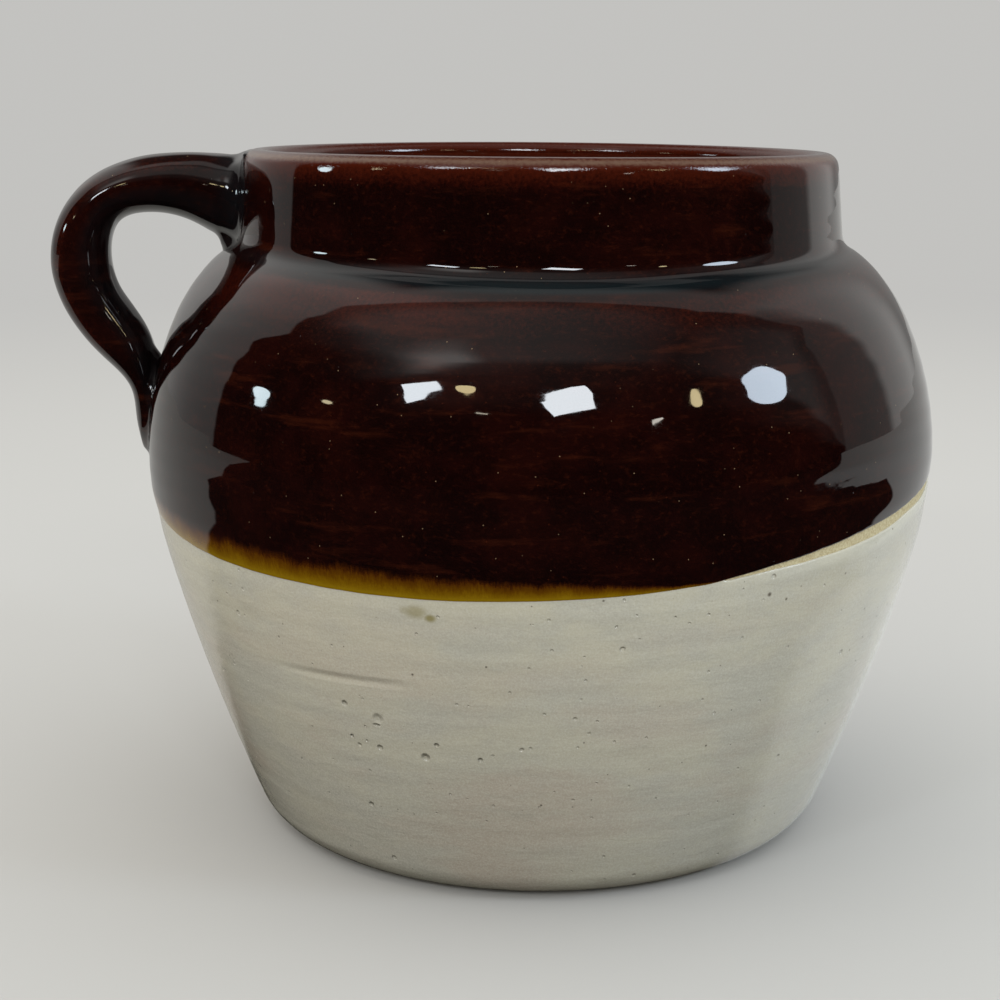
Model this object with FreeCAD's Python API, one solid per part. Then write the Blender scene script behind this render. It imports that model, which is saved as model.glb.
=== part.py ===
"""Stoneware bean pot: a thrown pot, a pulled side handle and the dark glaze over the upper half.

Millimetres, +Z up. The origin is the centre of the foot on the table, and the handle points
along -X. Outside sizes are taken over the glaze, which is a thin solid of its own; the pale
lower half, the inside and the handle carry their glaze within their own size.
"""
import FreeCAD
import Part
import math
import os
from collections import namedtuple

# ---- pot, over the glaze ----
pot_height = 162.6            # table to the crest of the rim
belly_radius = 95.0           # widest ring
belly_height = 90.0           # height of that ring
belly_curve = 81.0            # radius of the arc through the belly
belly_arc_down = 17.2         # degrees that this arc runs below the widest ring
belly_arc_up = 25.0           # degrees that it runs above it
shoulder_curve = 43.3         # tighter arc over the shoulder
shoulder_arc_end = 42.0       # degrees at which it hands over to the crown
crown_curve = 27.0            # tightest arc, at the collar, which flattens the shoulder's top
side_curve = 828.0            # the lower side is nearly straight
foot_edge_curve = 10.5        # rolled edge between the side and the foot

collar_foot_radius = 72.3     # outside of the collar where it stands on the shoulder
collar_foot_height = 140.0
collar_top_radius = 70.8      # outside of the collar at the rim, if it ran straight
collar_fillet = 4.5           # hollow curve between the crown and the collar
lip_turn_in = 15.0            # degrees that the collar's upper half turns inwards
lip_turn_in_curve = 40.0
lip_outer_curve = 2.0         # roundings of the lip
lip_inner_curve = 2.8

wall = 6.4                    # side wall over the glaze, inside and outside
floor_height = 8.0            # inside floor above the table
floor_curve = 16.0            # hollow curve between the floor and the side
neck_radius = 63.4            # inside of the collar
neck_corner_curve = 5.0       # rounded corner where the shoulder turns up into the neck

foot_ring_width = 9.0         # dry clay ring that the pot stands on
foot_hollow_depth = 1.4       # the base is hollowed inside that ring
foot_hollow_bevel = 4.0       # width of the slope into the hollow

# ---- dark glaze ----
coat = 0.7                    # thickness of the dark glaze on the outside
dip_height = 85.5             # height of its lower line, on the axis
dip_slope = 6.0               # degrees that the pot was tilted when it was dipped
dip_direction = 65.5          # degrees from +X to where the line is highest

# ---- handle, over the glaze ----
# Each station is an oval across the strap: the reach of its centre from the axis, its height,
# and half its thickness and width.
Station = namedtuple("Station", "reach height thick wide")
handle_stations = (
    Station(62.0, 151.0, 11.4, 14.0),      # root, inside the collar's wall
    Station(70.6, 151.1, 10.4, 12.8),      # where it spreads on to the collar
    Station(77.6, 153.0, 9.0, 10.9),
    Station(91.0, 154.7, 6.9, 10.0),       # top run, nearly level
    Station(104.2, 150.1, 6.1, 9.8),       # pulled thin round the bend
    Station(109.3, 138.5, 7.1, 9.5),       # furthest reach
    Station(106.6, 126.8, 7.0, 9.2),
    Station(99.0, 115.7, 6.0, 8.9),        # lower run, down to the belly
    Station(95.5, 107.0, 3.6, 8.6),
    Station(94.9, 98.5, 3.1, 7.6),         # tail, pressed on to the belly
    Station(94.9, 91.0, 1.7, 4.6),
)

AXIS_FOOT = FreeCAD.Vector(0, 0, 0)
UP = FreeCAD.Vector(0, 0, 1)
ACROSS = FreeCAD.Vector(0, 1, 0)


# ---- profile of the pot ----
def point(radius, height):
    """A point of the profile plane."""
    return FreeCAD.Vector(radius, 0, height)


def polar(centre, radius, degrees):
    """The point at an angle round a centre of the profile plane."""
    angle = math.radians(degrees)
    return centre + point(radius * math.cos(angle), radius * math.sin(angle))


def bearing(start, end):
    """The angle from one point of the profile plane to another, in degrees."""
    return math.degrees(math.atan2(end.z - start.z, end.x - start.x))


def arc(centre, radius, start, end):
    """An arc of the profile round a centre, from one angle to another, in degrees."""
    return [polar(centre, radius, angle) for angle in (start, (start + end) / 2, end)]


def outline(*pieces):
    """Edges through arcs and single points, with straight runs between them."""
    edges = []
    last = None
    for piece in pieces:
        first = piece[0] if isinstance(piece, list) else piece
        if last is not None and last.distanceToPoint(first) > 1e-6:
            edges.append(Part.makeLine(last, first))
        if isinstance(piece, list):
            edges.append(Part.Arc(*piece).toShape())
            first = piece[-1]
        last = first
    return edges


belly_centre = point(belly_radius - belly_curve, belly_height)
side_centre = polar(belly_centre, belly_curve - side_curve, -belly_arc_down)
shoulder_centre = polar(belly_centre, belly_curve - shoulder_curve, belly_arc_up)
crown_centre = polar(shoulder_centre, shoulder_curve - crown_curve, shoulder_arc_end)

collar_lean = math.degrees(math.atan2(collar_foot_radius - collar_top_radius,
                                      pot_height - collar_foot_height))
collar_foot = point(collar_foot_radius, collar_foot_height)


def collar_point(height, outwards):
    """The point at a height on a line beside the collar's outside, so far out from it."""
    base = polar(collar_foot, outwards, collar_lean)
    rise = height - base.z
    return point(base.x - rise * math.tan(math.radians(collar_lean)), height)


def fillet_centre():
    """Centre of the hollow curve that touches both the crown and the collar."""
    start = collar_point(collar_foot_height, collar_fillet)
    up_collar = polar(point(0, 0), 1, 90 + collar_lean)
    across = start - crown_centre
    along = across.dot(up_collar)
    reach = crown_curve + collar_fillet
    return start + up_collar * (math.sqrt(along ** 2 - across.dot(across) + reach ** 2) - along)


hollow_centre = fillet_centre()
crown_end = bearing(crown_centre, hollow_centre)
lip_lean = collar_lean + lip_turn_in
lip_drop = (lip_turn_in_curve - lip_outer_curve) * math.sin(math.radians(lip_lean))
turn_in_centre = collar_point(pot_height - lip_outer_curve - lip_drop, -lip_turn_in_curve)
lip_outer_centre = polar(turn_in_centre, lip_turn_in_curve - lip_outer_curve, lip_lean)
lip_inner_centre = point(neck_radius + lip_inner_curve, pot_height - lip_inner_curve)


def foot_turn(depth):
    """Angle below the level at which the side runs into the foot's edge, under a coat."""
    drop = side_centre.z - foot_edge_curve
    return math.degrees(math.asin(drop / (side_curve - depth - foot_edge_curve)))


def foot_centre(depth):
    """Centre of the rolled edge of the foot, under a coat."""
    return polar(side_centre, side_curve - depth - foot_edge_curve, -foot_turn(depth))


def outside(depth):
    """The pot's outside from the foot up to the lip's top, so deep under the glaze."""
    turn = foot_turn(depth)
    return outline(
        arc(foot_centre(depth), foot_edge_curve, -90, -turn),
        arc(side_centre, side_curve - depth, -turn, -belly_arc_down),
        arc(belly_centre, belly_curve - depth, -belly_arc_down, belly_arc_up),
        arc(shoulder_centre, shoulder_curve - depth, belly_arc_up, shoulder_arc_end),
        arc(crown_centre, crown_curve - depth, shoulder_arc_end, crown_end),
        arc(hollow_centre, collar_fillet + depth, crown_end + 180, collar_lean + 180),
        arc(turn_in_centre, lip_turn_in_curve - depth, collar_lean, lip_lean),
        arc(lip_outer_centre, lip_outer_curve - depth, lip_lean, 90),
        point(lip_outer_centre.x, pot_height),
    )


def inside():
    """The pot's inside from the floor up to the lip's top."""
    side_reach = side_curve - wall - floor_curve
    side_end = -math.degrees(math.asin((side_centre.z - floor_height - floor_curve) / side_reach))
    corner_reach = crown_curve - wall + neck_corner_curve
    corner_x = neck_radius + neck_corner_curve
    corner_rise = math.sqrt(corner_reach ** 2 - (corner_x - crown_centre.x) ** 2)
    corner = point(corner_x, crown_centre.z + corner_rise)
    corner_end = bearing(crown_centre, corner)
    return outline(
        point(0, floor_height),
        arc(polar(side_centre, side_reach, side_end), floor_curve, -90, side_end),
        arc(side_centre, side_curve - wall, side_end, -belly_arc_down),
        arc(belly_centre, belly_curve - wall, -belly_arc_down, belly_arc_up),
        arc(shoulder_centre, shoulder_curve - wall, belly_arc_up, shoulder_arc_end),
        arc(crown_centre, crown_curve - wall, shoulder_arc_end, corner_end),
        arc(corner, neck_corner_curve, corner_end + 180, 180),
        arc(lip_inner_centre, lip_inner_curve, 180, 90),
        point(lip_outer_centre.x, pot_height),
    )


def underside():
    """The pot's underside from the axis out to the foot: a hollow inside a flat ring."""
    ring_outer = foot_centre(coat).x
    ring_inner = ring_outer - foot_ring_width
    return outline(
        point(0, foot_hollow_depth),
        point(ring_inner - foot_hollow_bevel, foot_hollow_depth),
        point(ring_inner, 0),
        point(ring_outer, 0),
    )


def between(near, far):
    """The solid of revolution between two runs of edges that go the same way."""
    edges = near + far
    for end in (0, -1):
        first, second = (Part.Wire(run).OrderedVertexes[end].Point for run in (near, far))
        if first.distanceToPoint(second) > 1e-6:
            edges.append(Part.makeLine(first, second))
    face = Part.Face(Part.Wire(Part.sortEdges(edges)[0]))
    return face.revolve(AXIS_FOOT, UP, 360)


# ---- pieces ----
def pot_body():
    """The thrown pot, open at the neck."""
    return between(underside() + outside(coat), inside())


def strap():
    """The whole strap, from its root in the collar's wall to the end of its tail."""
    centres = [FreeCAD.Vector(-station.reach, 0, station.height) for station in handle_stations]
    spine = Part.BSplineCurve()
    spine.interpolate(centres)
    ovals = []
    for station, centre in zip(handle_stations, centres):
        along = spine.tangent(spine.parameter(centre))[0]
        thick = along.cross(ACROSS) * station.thick
        oval = Part.Ellipse(centre + ACROSS * station.wide, centre + thick, centre)
        ovals.append(Part.Wire(oval.toShape()))
    return Part.makeLoft(ovals, True)


def handle():
    """The pulled handle, seated on the clay of the collar and the belly."""
    axis_line = Part.makeLine(AXIS_FOOT, UP * pot_height)
    return strap().cut(between(outside(coat), [axis_line]))


def over_dip_line():
    """A block that fills everything over the line to which the pot was dipped."""
    size = 4 * belly_radius
    block = Part.makeBox(size, size, size, FreeCAD.Vector(-size / 2, -size / 2, 0))
    turn = math.radians(dip_direction)
    block.rotate(AXIS_FOOT, FreeCAD.Vector(math.sin(turn), -math.cos(turn), 0), dip_slope)
    block.translate(UP * dip_height)
    return block


def dark_glaze():
    """The dark coat on the outside, from the lip down to the dip line, round the handle."""
    return between(outside(0), outside(coat)).common(over_dip_line()).cut(strap())


os.makedirs("parts", exist_ok=True)
for make in (pot_body, handle, dark_glaze):
    shape = make()
    if len(shape.Solids) != 1 or not shape.isValid():
        raise ValueError(make.__name__ + " is not one sound solid")
    shape.Solids[0].exportStep("parts/" + make.__name__ + ".step")
    print(make.__name__, round(shape.Volume / 1000, 2), "cm3")
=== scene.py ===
"""Looks of the stoneware bean pot: raw clay, its glazes, the pulled handle and a plain studio.

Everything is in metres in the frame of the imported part: +Z up, the centre of the foot at the
origin, and the handle along -X.
"""
import logging
import math
from collections.abc import Sequence
from dataclasses import dataclass
from enum import Enum

import bpy
import numpy as np
from mathutils import Matrix, Vector, noise


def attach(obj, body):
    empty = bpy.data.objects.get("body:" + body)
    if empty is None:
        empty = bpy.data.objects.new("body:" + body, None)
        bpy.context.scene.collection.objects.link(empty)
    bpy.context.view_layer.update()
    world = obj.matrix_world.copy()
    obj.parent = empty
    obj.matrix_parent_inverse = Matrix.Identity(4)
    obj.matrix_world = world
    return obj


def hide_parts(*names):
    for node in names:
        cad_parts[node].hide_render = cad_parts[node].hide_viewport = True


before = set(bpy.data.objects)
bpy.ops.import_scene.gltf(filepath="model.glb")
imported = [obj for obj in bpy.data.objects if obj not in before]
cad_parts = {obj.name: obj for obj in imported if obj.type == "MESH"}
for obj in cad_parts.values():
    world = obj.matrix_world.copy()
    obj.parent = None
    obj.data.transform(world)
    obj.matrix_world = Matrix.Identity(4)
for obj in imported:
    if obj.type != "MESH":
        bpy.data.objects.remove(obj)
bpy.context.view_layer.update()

logging.basicConfig(level=logging.INFO, format="%(name)s: %(message)s")
log = logging.getLogger("bean_pot")

MM = 0.001
WELD = 1e-5                    # vertices closer than this are one
GLAZE_INDEX = 1.5              # index of refraction of glaze and clay
DOT_CORE = 0.45                # the share of a dot, and of a single spot, that is full strength
SPOT_CORE = 0.25
NO_BAND = 4.0                  # far above the amber band, in band widths
NEAREST_BLOCK = 20000          # vertices that are matched at once

Colour = tuple[float, float, float]
Point2 = tuple[float, float]
Piece = bpy.types.Object
Material = bpy.types.Material


class Slot(Enum):
    """The record's material slots."""

    PALE = "pale_stoneware"
    DARK = "dark_glaze"


# ---------------------------------------------------------------- small mathematics


def smooth(value: np.ndarray, low: float, high: float) -> np.ndarray:
    """Rises smoothly from 0 at low to 1 at high.

    Args:
        value: The numbers to grade.
        low: Where the rise starts.
        high: Where it ends; it may lie below low.

    Returns:
        The grades, each from 0 to 1.
    """
    share = np.clip((value - low) / (high - low), 0.0, 1.0)
    return share * share * (3.0 - 2.0 * share)


def plateau(value: np.ndarray, rise: float, full: float, fall: float, gone: float) -> np.ndarray:
    """Rises from 0 to 1 between the first two numbers, and falls again between the last two."""
    return smooth(value, rise, full) * (1.0 - smooth(value, fall, gone))


def bell(value: np.ndarray, middle: float, width: float) -> np.ndarray:
    """1 in the middle, falling off to both sides over the width."""
    return np.exp(-((value - middle) / width) ** 2)


def lumps(points: np.ndarray, size: float, seed: float = 0.0) -> np.ndarray:
    """Soft random lumps, about -1 to 1, that are the same on every run.

    Args:
        points: One row of x, y, z for each value.
        size: Width of a lump in metres.
        seed: Moves the pattern, so that two patterns differ.

    Returns:
        One value for each point.
    """
    shift = Vector((seed, 2.3 * seed, -1.7 * seed))
    return np.array([noise.noise(Vector(row) / size + shift) for row in points])


def ring(angles: np.ndarray, radius: float) -> np.ndarray:
    """Points on a circle round the pot's axis, for a pattern that joins up with itself."""
    return np.stack([radius * np.cos(angles), radius * np.sin(angles), np.zeros_like(angles)], 1)


def natural_spline(knots: np.ndarray, values: np.ndarray, at: np.ndarray) -> np.ndarray:
    """A smooth curve through some values.

    Args:
        knots: Where the values are known, rising.
        values: One row for each knot.
        at: Where the curve is read.

    Returns:
        One row for each place in at.
    """
    gaps = np.diff(knots)[:, None]
    count = len(knots)
    system = np.eye(count)
    right = np.zeros_like(values)
    for i in range(1, count - 1):
        before, after = gaps[i - 1, 0], gaps[i, 0]
        system[i, i - 1:i + 2] = before, 2 * (before + after), after
        right[i] = 6 * ((values[i + 1] - values[i]) / after - (values[i] - values[i - 1]) / before)
    bend = np.linalg.solve(system, right)
    i = np.clip(np.searchsorted(knots, at) - 1, 0, count - 2)
    low, high, gap = (at - knots[i])[:, None], (knots[i + 1] - at)[:, None], gaps[i]
    return (
        (bend[i] * high ** 3 + bend[i + 1] * low ** 3) / (6 * gap)
        + (values[i] / gap - bend[i] * gap / 6) * high
        + (values[i + 1] / gap - bend[i + 1] * gap / 6) * low
    )


def spaced(start: float, end: float, step: float) -> np.ndarray:
    """Even steps from start to end, both included, no longer than step."""
    return np.linspace(start, end, max(2, math.ceil(abs(end - start) / step) + 1))


# ---------------------------------------------------------------- the pot's outline


@dataclass(frozen=True)
class PotShape:
    """Driving sizes of the pot. They are those of its solids, but for the lip and the lower side.

    The solids' collar leans less and turns in over a longer curve. Here it runs straight for longer
    and turns in close to the crest, half a millimetre from the solids' outline at most. The lower
    side is fuller than the solids' by a millimetre or so. Arcs and turns are in degrees.
    """

    height: float = 162.6 * MM
    belly_radius: float = 95.0 * MM
    belly_height: float = 90.0 * MM
    belly_curve: float = 81.0 * MM
    belly_arc_down: float = 14.4
    belly_arc_up: float = 25.0
    shoulder_curve: float = 43.3 * MM
    shoulder_arc_end: float = 42.0
    crown_curve: float = 27.0 * MM
    side_curve: float = 510.0 * MM
    foot_edge_curve: float = 12.0 * MM
    collar_foot_radius: float = 72.3 * MM
    collar_foot_height: float = 140.0 * MM
    collar_top_radius: float = 70.32 * MM
    collar_fillet: float = 4.5 * MM
    lip_turn_in: float = 9.5
    lip_turn_in_curve: float = 12.0 * MM
    lip_outer_curve: float = 3.3 * MM
    lip_inner_curve: float = 2.8 * MM
    wall: float = 6.4 * MM
    floor_height: float = 8.0 * MM
    floor_curve: float = 16.0 * MM
    neck_radius: float = 63.4 * MM
    neck_corner_curve: float = 5.0 * MM
    foot_ring_width: float = 9.0 * MM
    foot_hollow_depth: float = 1.4 * MM
    foot_hollow_bevel: float = 4.0 * MM
    coat: float = 0.7 * MM


def polar(centre: Point2, radius: float, degrees: float) -> Point2:
    """The point at an angle round a centre, in the plane of radius and height."""
    angle = math.radians(degrees)
    return centre[0] + radius * math.cos(angle), centre[1] + radius * math.sin(angle)


class Outline:
    """A run of arcs and straights in the plane of radius and height, read by length along it.

    The clay lies on the left of the run, so its outward side is on the right.
    """

    STEP = 0.05 * MM

    def __init__(self, parts: Sequence[Sequence[Point2]]) -> None:
        """Joins the parts end to start with straight runs.

        Args:
            parts: Each is a single point, or the points of one arc close together.
        """
        points: list[Point2] = []
        for part in parts:
            if points:
                gap = math.dist(points[-1], part[0])
                if gap > WELD:
                    shares = np.linspace(0, 1, math.ceil(gap / self.STEP) + 1)[1:-1]
                    start, end = points[-1], part[0]
                    points += [tuple(np.array(start) + share * np.subtract(end, start)) for share in shares]
                else:
                    part = part[1:]
            points += list(part)
        line = np.array(points)
        self.length_at = np.concatenate([[0], np.cumsum(np.hypot(*np.diff(line, axis=0).T))])
        self.radius, self.height = line.T
        along = np.gradient(line, self.length_at, axis=0)
        along /= np.linalg.norm(along, axis=1)[:, None]
        self.out_radius, self.out_height = along[:, 1], -along[:, 0]
        self.total = float(self.length_at[-1])

    @classmethod
    def arc(cls, centre: Point2, radius: float, start: float, end: float) -> list[Point2]:
        """Points along an arc, from one angle to another in degrees."""
        count = max(8, math.ceil(abs(math.radians(end - start)) * radius / cls.STEP))
        return [polar(centre, radius, angle) for angle in np.linspace(start, end, count)]

    def place(self, length: np.ndarray, proud: np.ndarray | float = 0.0) -> np.ndarray:
        """Where something lies on the outline.

        Args:
            length: Lengths along the outline.
            proud: How far it stands out from the outline; negative is into the clay.

        Returns:
            One row of radius and height for each length.
        """
        def read(values: np.ndarray) -> np.ndarray:
            """Values at the lengths."""
            return np.interp(length, self.length_at, values)

        radius = read(self.radius) + proud * read(self.out_radius)
        height = read(self.height) + proud * read(self.out_height)
        return np.stack([np.maximum(radius, 0.0), height], -1)

    def at_height(self, height: np.ndarray | float) -> np.ndarray:
        """Length along the rising first part of the outline at a height."""
        rising = int(np.argmax(self.height))
        return np.interp(height, self.height[:rising], self.length_at[:rising])


class PotOutlines:
    """The pot's tangent arcs, worked out from its driving sizes."""

    def __init__(self, shape: PotShape) -> None:
        """Works out every centre and turn.

        Args:
            shape: The driving sizes.
        """
        self.shape = s = shape
        self.belly = (s.belly_radius - s.belly_curve, s.belly_height)
        self.side = polar(self.belly, s.belly_curve - s.side_curve, -s.belly_arc_down)
        self.shoulder = polar(self.belly, s.belly_curve - s.shoulder_curve, s.belly_arc_up)
        self.crown = polar(self.shoulder, s.shoulder_curve - s.crown_curve, s.shoulder_arc_end)
        self.lean = math.degrees(math.atan2(s.collar_foot_radius - s.collar_top_radius,
                                            s.height - s.collar_foot_height))
        self.hollow = self._fillet_centre()
        self.crown_end = math.degrees(math.atan2(self.hollow[1] - self.crown[1],
                                                 self.hollow[0] - self.crown[0]))
        self.lip_lean = self.lean + s.lip_turn_in
        lip_drop = (s.lip_turn_in_curve - s.lip_outer_curve) * math.sin(math.radians(self.lip_lean))
        self.turn_in = self._beside_collar(s.height - s.lip_outer_curve - lip_drop, -s.lip_turn_in_curve)
        self.lip_outer = polar(self.turn_in, s.lip_turn_in_curve - s.lip_outer_curve, self.lip_lean)
        self.lip_inner = (s.neck_radius + s.lip_inner_curve, s.height - s.lip_inner_curve)
        self.glaze = self._glaze_outline()
        self.body = self._body_outline()
        self.inside = self._inside_outline()

    def _beside_collar(self, height: float, outwards: float) -> Point2:
        """Finds a point on a line beside the collar's outside.

        Args:
            height: The point's height.
            outwards: How far out from the collar's outside the line runs.

        Returns:
            The point.
        """
        s = self.shape
        base = polar((s.collar_foot_radius, s.collar_foot_height), outwards, self.lean)
        return base[0] - (height - base[1]) * math.tan(math.radians(self.lean)), height

    def _fillet_centre(self) -> Point2:
        """Works out the hollow curve that touches both the crown and the collar.

        Returns:
            The centre.
        """
        s = self.shape
        start = np.array(self._beside_collar(s.collar_foot_height, s.collar_fillet))
        up_collar = np.array(polar((0.0, 0.0), 1.0, 90 + self.lean))
        across = start - np.array(self.crown)
        along = float(across @ up_collar)
        reach = s.crown_curve + s.collar_fillet
        rise = math.sqrt(along ** 2 - float(across @ across) + reach ** 2) - along
        return tuple(start + up_collar * rise)

    def _upper_arcs(self, depth: float) -> list[list[Point2]]:
        """The outside from the belly's arc up to the crest of the lip.

        Args:
            depth: How deep it lies under the dark glaze's surface.

        Returns:
            The points of each arc.
        """
        s = self.shape
        arc = Outline.arc
        return [
            arc(self.belly, s.belly_curve - depth, -s.belly_arc_down, s.belly_arc_up),
            arc(self.shoulder, s.shoulder_curve - depth, s.belly_arc_up, s.shoulder_arc_end),
            arc(self.crown, s.crown_curve - depth, s.shoulder_arc_end, self.crown_end),
            arc(self.hollow, s.collar_fillet + depth, self.crown_end + 180, self.lean + 180),
            arc(self.turn_in, s.lip_turn_in_curve - depth, self.lean, self.lip_lean),
            arc(self.lip_outer, s.lip_outer_curve - depth, self.lip_lean, 90),
        ]

    def _glaze_outline(self) -> Outline:
        """The dark glaze's surface.

        Returns:
            Belly, shoulder, collar, over the lip and down into the neck.
        """
        s = self.shape
        over_lip = Outline.arc(self.lip_inner, s.lip_inner_curve, 90, 180)
        return Outline([*self._upper_arcs(0.0), over_lip])

    def _body_outline(self) -> Outline:
        """The pot's outside under the dark glaze.

        Returns:
            From the foot's edge to the lip.
        """
        s = self.shape
        drop = self.side[1] - s.foot_edge_curve
        reach = s.side_curve - s.coat - s.foot_edge_curve
        turn = math.degrees(math.asin(drop / reach))
        self.foot = polar(self.side, reach, -turn)
        return Outline([
            Outline.arc(self.foot, s.foot_edge_curve, -90, -turn),
            Outline.arc(self.side, s.side_curve - s.coat, -turn, -s.belly_arc_down),
            *self._upper_arcs(s.coat),
        ])

    def _inside_outline(self) -> Outline:
        """The pot's inside.

        Returns:
            From the neck under the lip down to the middle of the floor.
        """
        s = self.shape
        side_reach = s.side_curve - s.wall - s.floor_curve
        side_end = -math.degrees(math.asin((self.side[1] - s.floor_height - s.floor_curve) / side_reach))
        corner_reach = s.crown_curve - s.wall + s.neck_corner_curve
        corner_radius = s.neck_radius + s.neck_corner_curve
        rise = math.sqrt(corner_reach ** 2 - (corner_radius - self.crown[0]) ** 2)
        corner = (corner_radius, self.crown[1] + rise)
        corner_end = math.degrees(math.atan2(rise, corner_radius - self.crown[0]))
        arc = Outline.arc
        return Outline([
            [(s.neck_radius, self.lip_inner[1])],
            arc(corner, s.neck_corner_curve, 180, corner_end + 180),
            arc(self.crown, s.crown_curve - s.wall, corner_end, s.shoulder_arc_end),
            arc(self.shoulder, s.shoulder_curve - s.wall, s.shoulder_arc_end, s.belly_arc_up),
            arc(self.belly, s.belly_curve - s.wall, s.belly_arc_up, -s.belly_arc_down),
            arc(self.side, s.side_curve - s.wall, -s.belly_arc_down, side_end),
            arc(polar(self.side, side_reach, side_end), s.floor_curve, side_end, -90),
            [(0.0, s.floor_height)],
        ])


# ---------------------------------------------------------------- the hand that made it


@dataclass(frozen=True)
class PottersHand:
    """The unevenness of a thrown pot and of a dip done by hand."""

    ring_pitch: float = 5.2 * MM
    ring_depth: float = 0.07 * MM
    sway_size: float = 46.0 * MM
    sway_depth: float = 0.22 * MM
    inside_ring_depth: float = 0.22 * MM
    dip_height: float = 85.5 * MM
    dip_slope: float = 6.0
    dip_direction: float = 65.5
    rim_dip: float = 1.25 * MM             # the rim is this much lower opposite the handle
    shoulder_dip: float = 0.55 * MM
    collar_foot_dip: float = 2.2 * MM      # the collar's foot sags at the front
    collar_foot_dip_at: float = -88.0
    collar_foot_dip_width: float = 50.0

    def pushed_in(self, angles: np.ndarray, heights: np.ndarray, radius: float) -> np.ndarray:
        """How far the outside lies in from its true outline.

        Args:
            angles: Directions round the axis, in radians.
            heights: Heights on the outline.
            radius: A typical radius, which sets the width of the sways.

        Returns:
            One depth for each place, never negative.
        """
        spots = np.stack([radius * np.cos(angles), radius * np.sin(angles), heights], 1)
        sway = 0.5 + 0.5 * lumps(spots, self.sway_size, seed=3.1)
        strength = 0.55 + 0.45 * lumps(spots, 0.6 * self.sway_size, seed=8.4)
        drift = 2.2 * lumps(spots, self.sway_size, seed=5.7)
        phase = 2 * math.pi * heights / self.ring_pitch + angles + drift
        rings = strength * (0.5 + 0.5 * np.sin(phase))
        return np.maximum(0.0, self.sway_depth * sway) + self.ring_depth * rings

    def sagged(self, places: np.ndarray) -> np.ndarray:
        """Lets the pot's upper part sag unevenly, as soft clay does on the wheel.

        Args:
            places: Vertices, one row each.

        Returns:
            The same vertices, lowered a little.
        """
        x, y, z = places.T
        angles = np.arctan2(y, x)
        far = ((1.0 + np.cos(angles)) / 2.0) ** 2
        rim = smooth(z, 138 * MM, 160 * MM)
        shoulder = smooth(z, 100 * MM, 130 * MM) * (1.0 - rim)
        foot = bell(np.degrees(angles), self.collar_foot_dip_at, self.collar_foot_dip_width)
        foot *= plateau(z, 118 * MM, 137 * MM, 143 * MM, 157 * MM)
        down = far * (self.rim_dip * rim + self.shoulder_dip * shoulder) + self.collar_foot_dip * foot
        return np.stack([x, y, z - down], 1)

    def inside_rings(self, angles: np.ndarray, heights: np.ndarray) -> np.ndarray:
        """How far the throwing rings inside lie out from the true inside wall.

        Args:
            angles: Directions round the axis, in radians.
            heights: Heights on the inside.

        Returns:
            One depth for each place.
        """
        spots = ring(angles, 80 * MM) + np.stack([0 * heights, 0 * heights, heights], 1)
        phase = 2 * math.pi * heights / (1.9 * self.ring_pitch) + angles + 1.4 * lumps(spots, 60 * MM, 2.2)
        return self.inside_ring_depth * (0.5 + 0.5 * np.sin(phase))

    def dip_line(self, angles: np.ndarray, radius: float) -> np.ndarray:
        """Height of the dark glaze's lower edge in each direction round the pot.

        Args:
            angles: Directions round the axis, in radians.
            radius: The pot's radius at the line.

        Returns:
            One height for each direction.
        """
        slope = radius * math.tan(math.radians(self.dip_slope))
        tilt = slope * np.cos(angles - math.radians(self.dip_direction))
        drift = 0.55 * MM * lumps(ring(angles, radius), 34 * MM, seed=1.3)
        ripple = 0.16 * MM * lumps(ring(angles, radius), 7 * MM, seed=6.1)
        return self.dip_height + tilt + drift + ripple


# ---------------------------------------------------------------- modelling with operators


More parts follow.
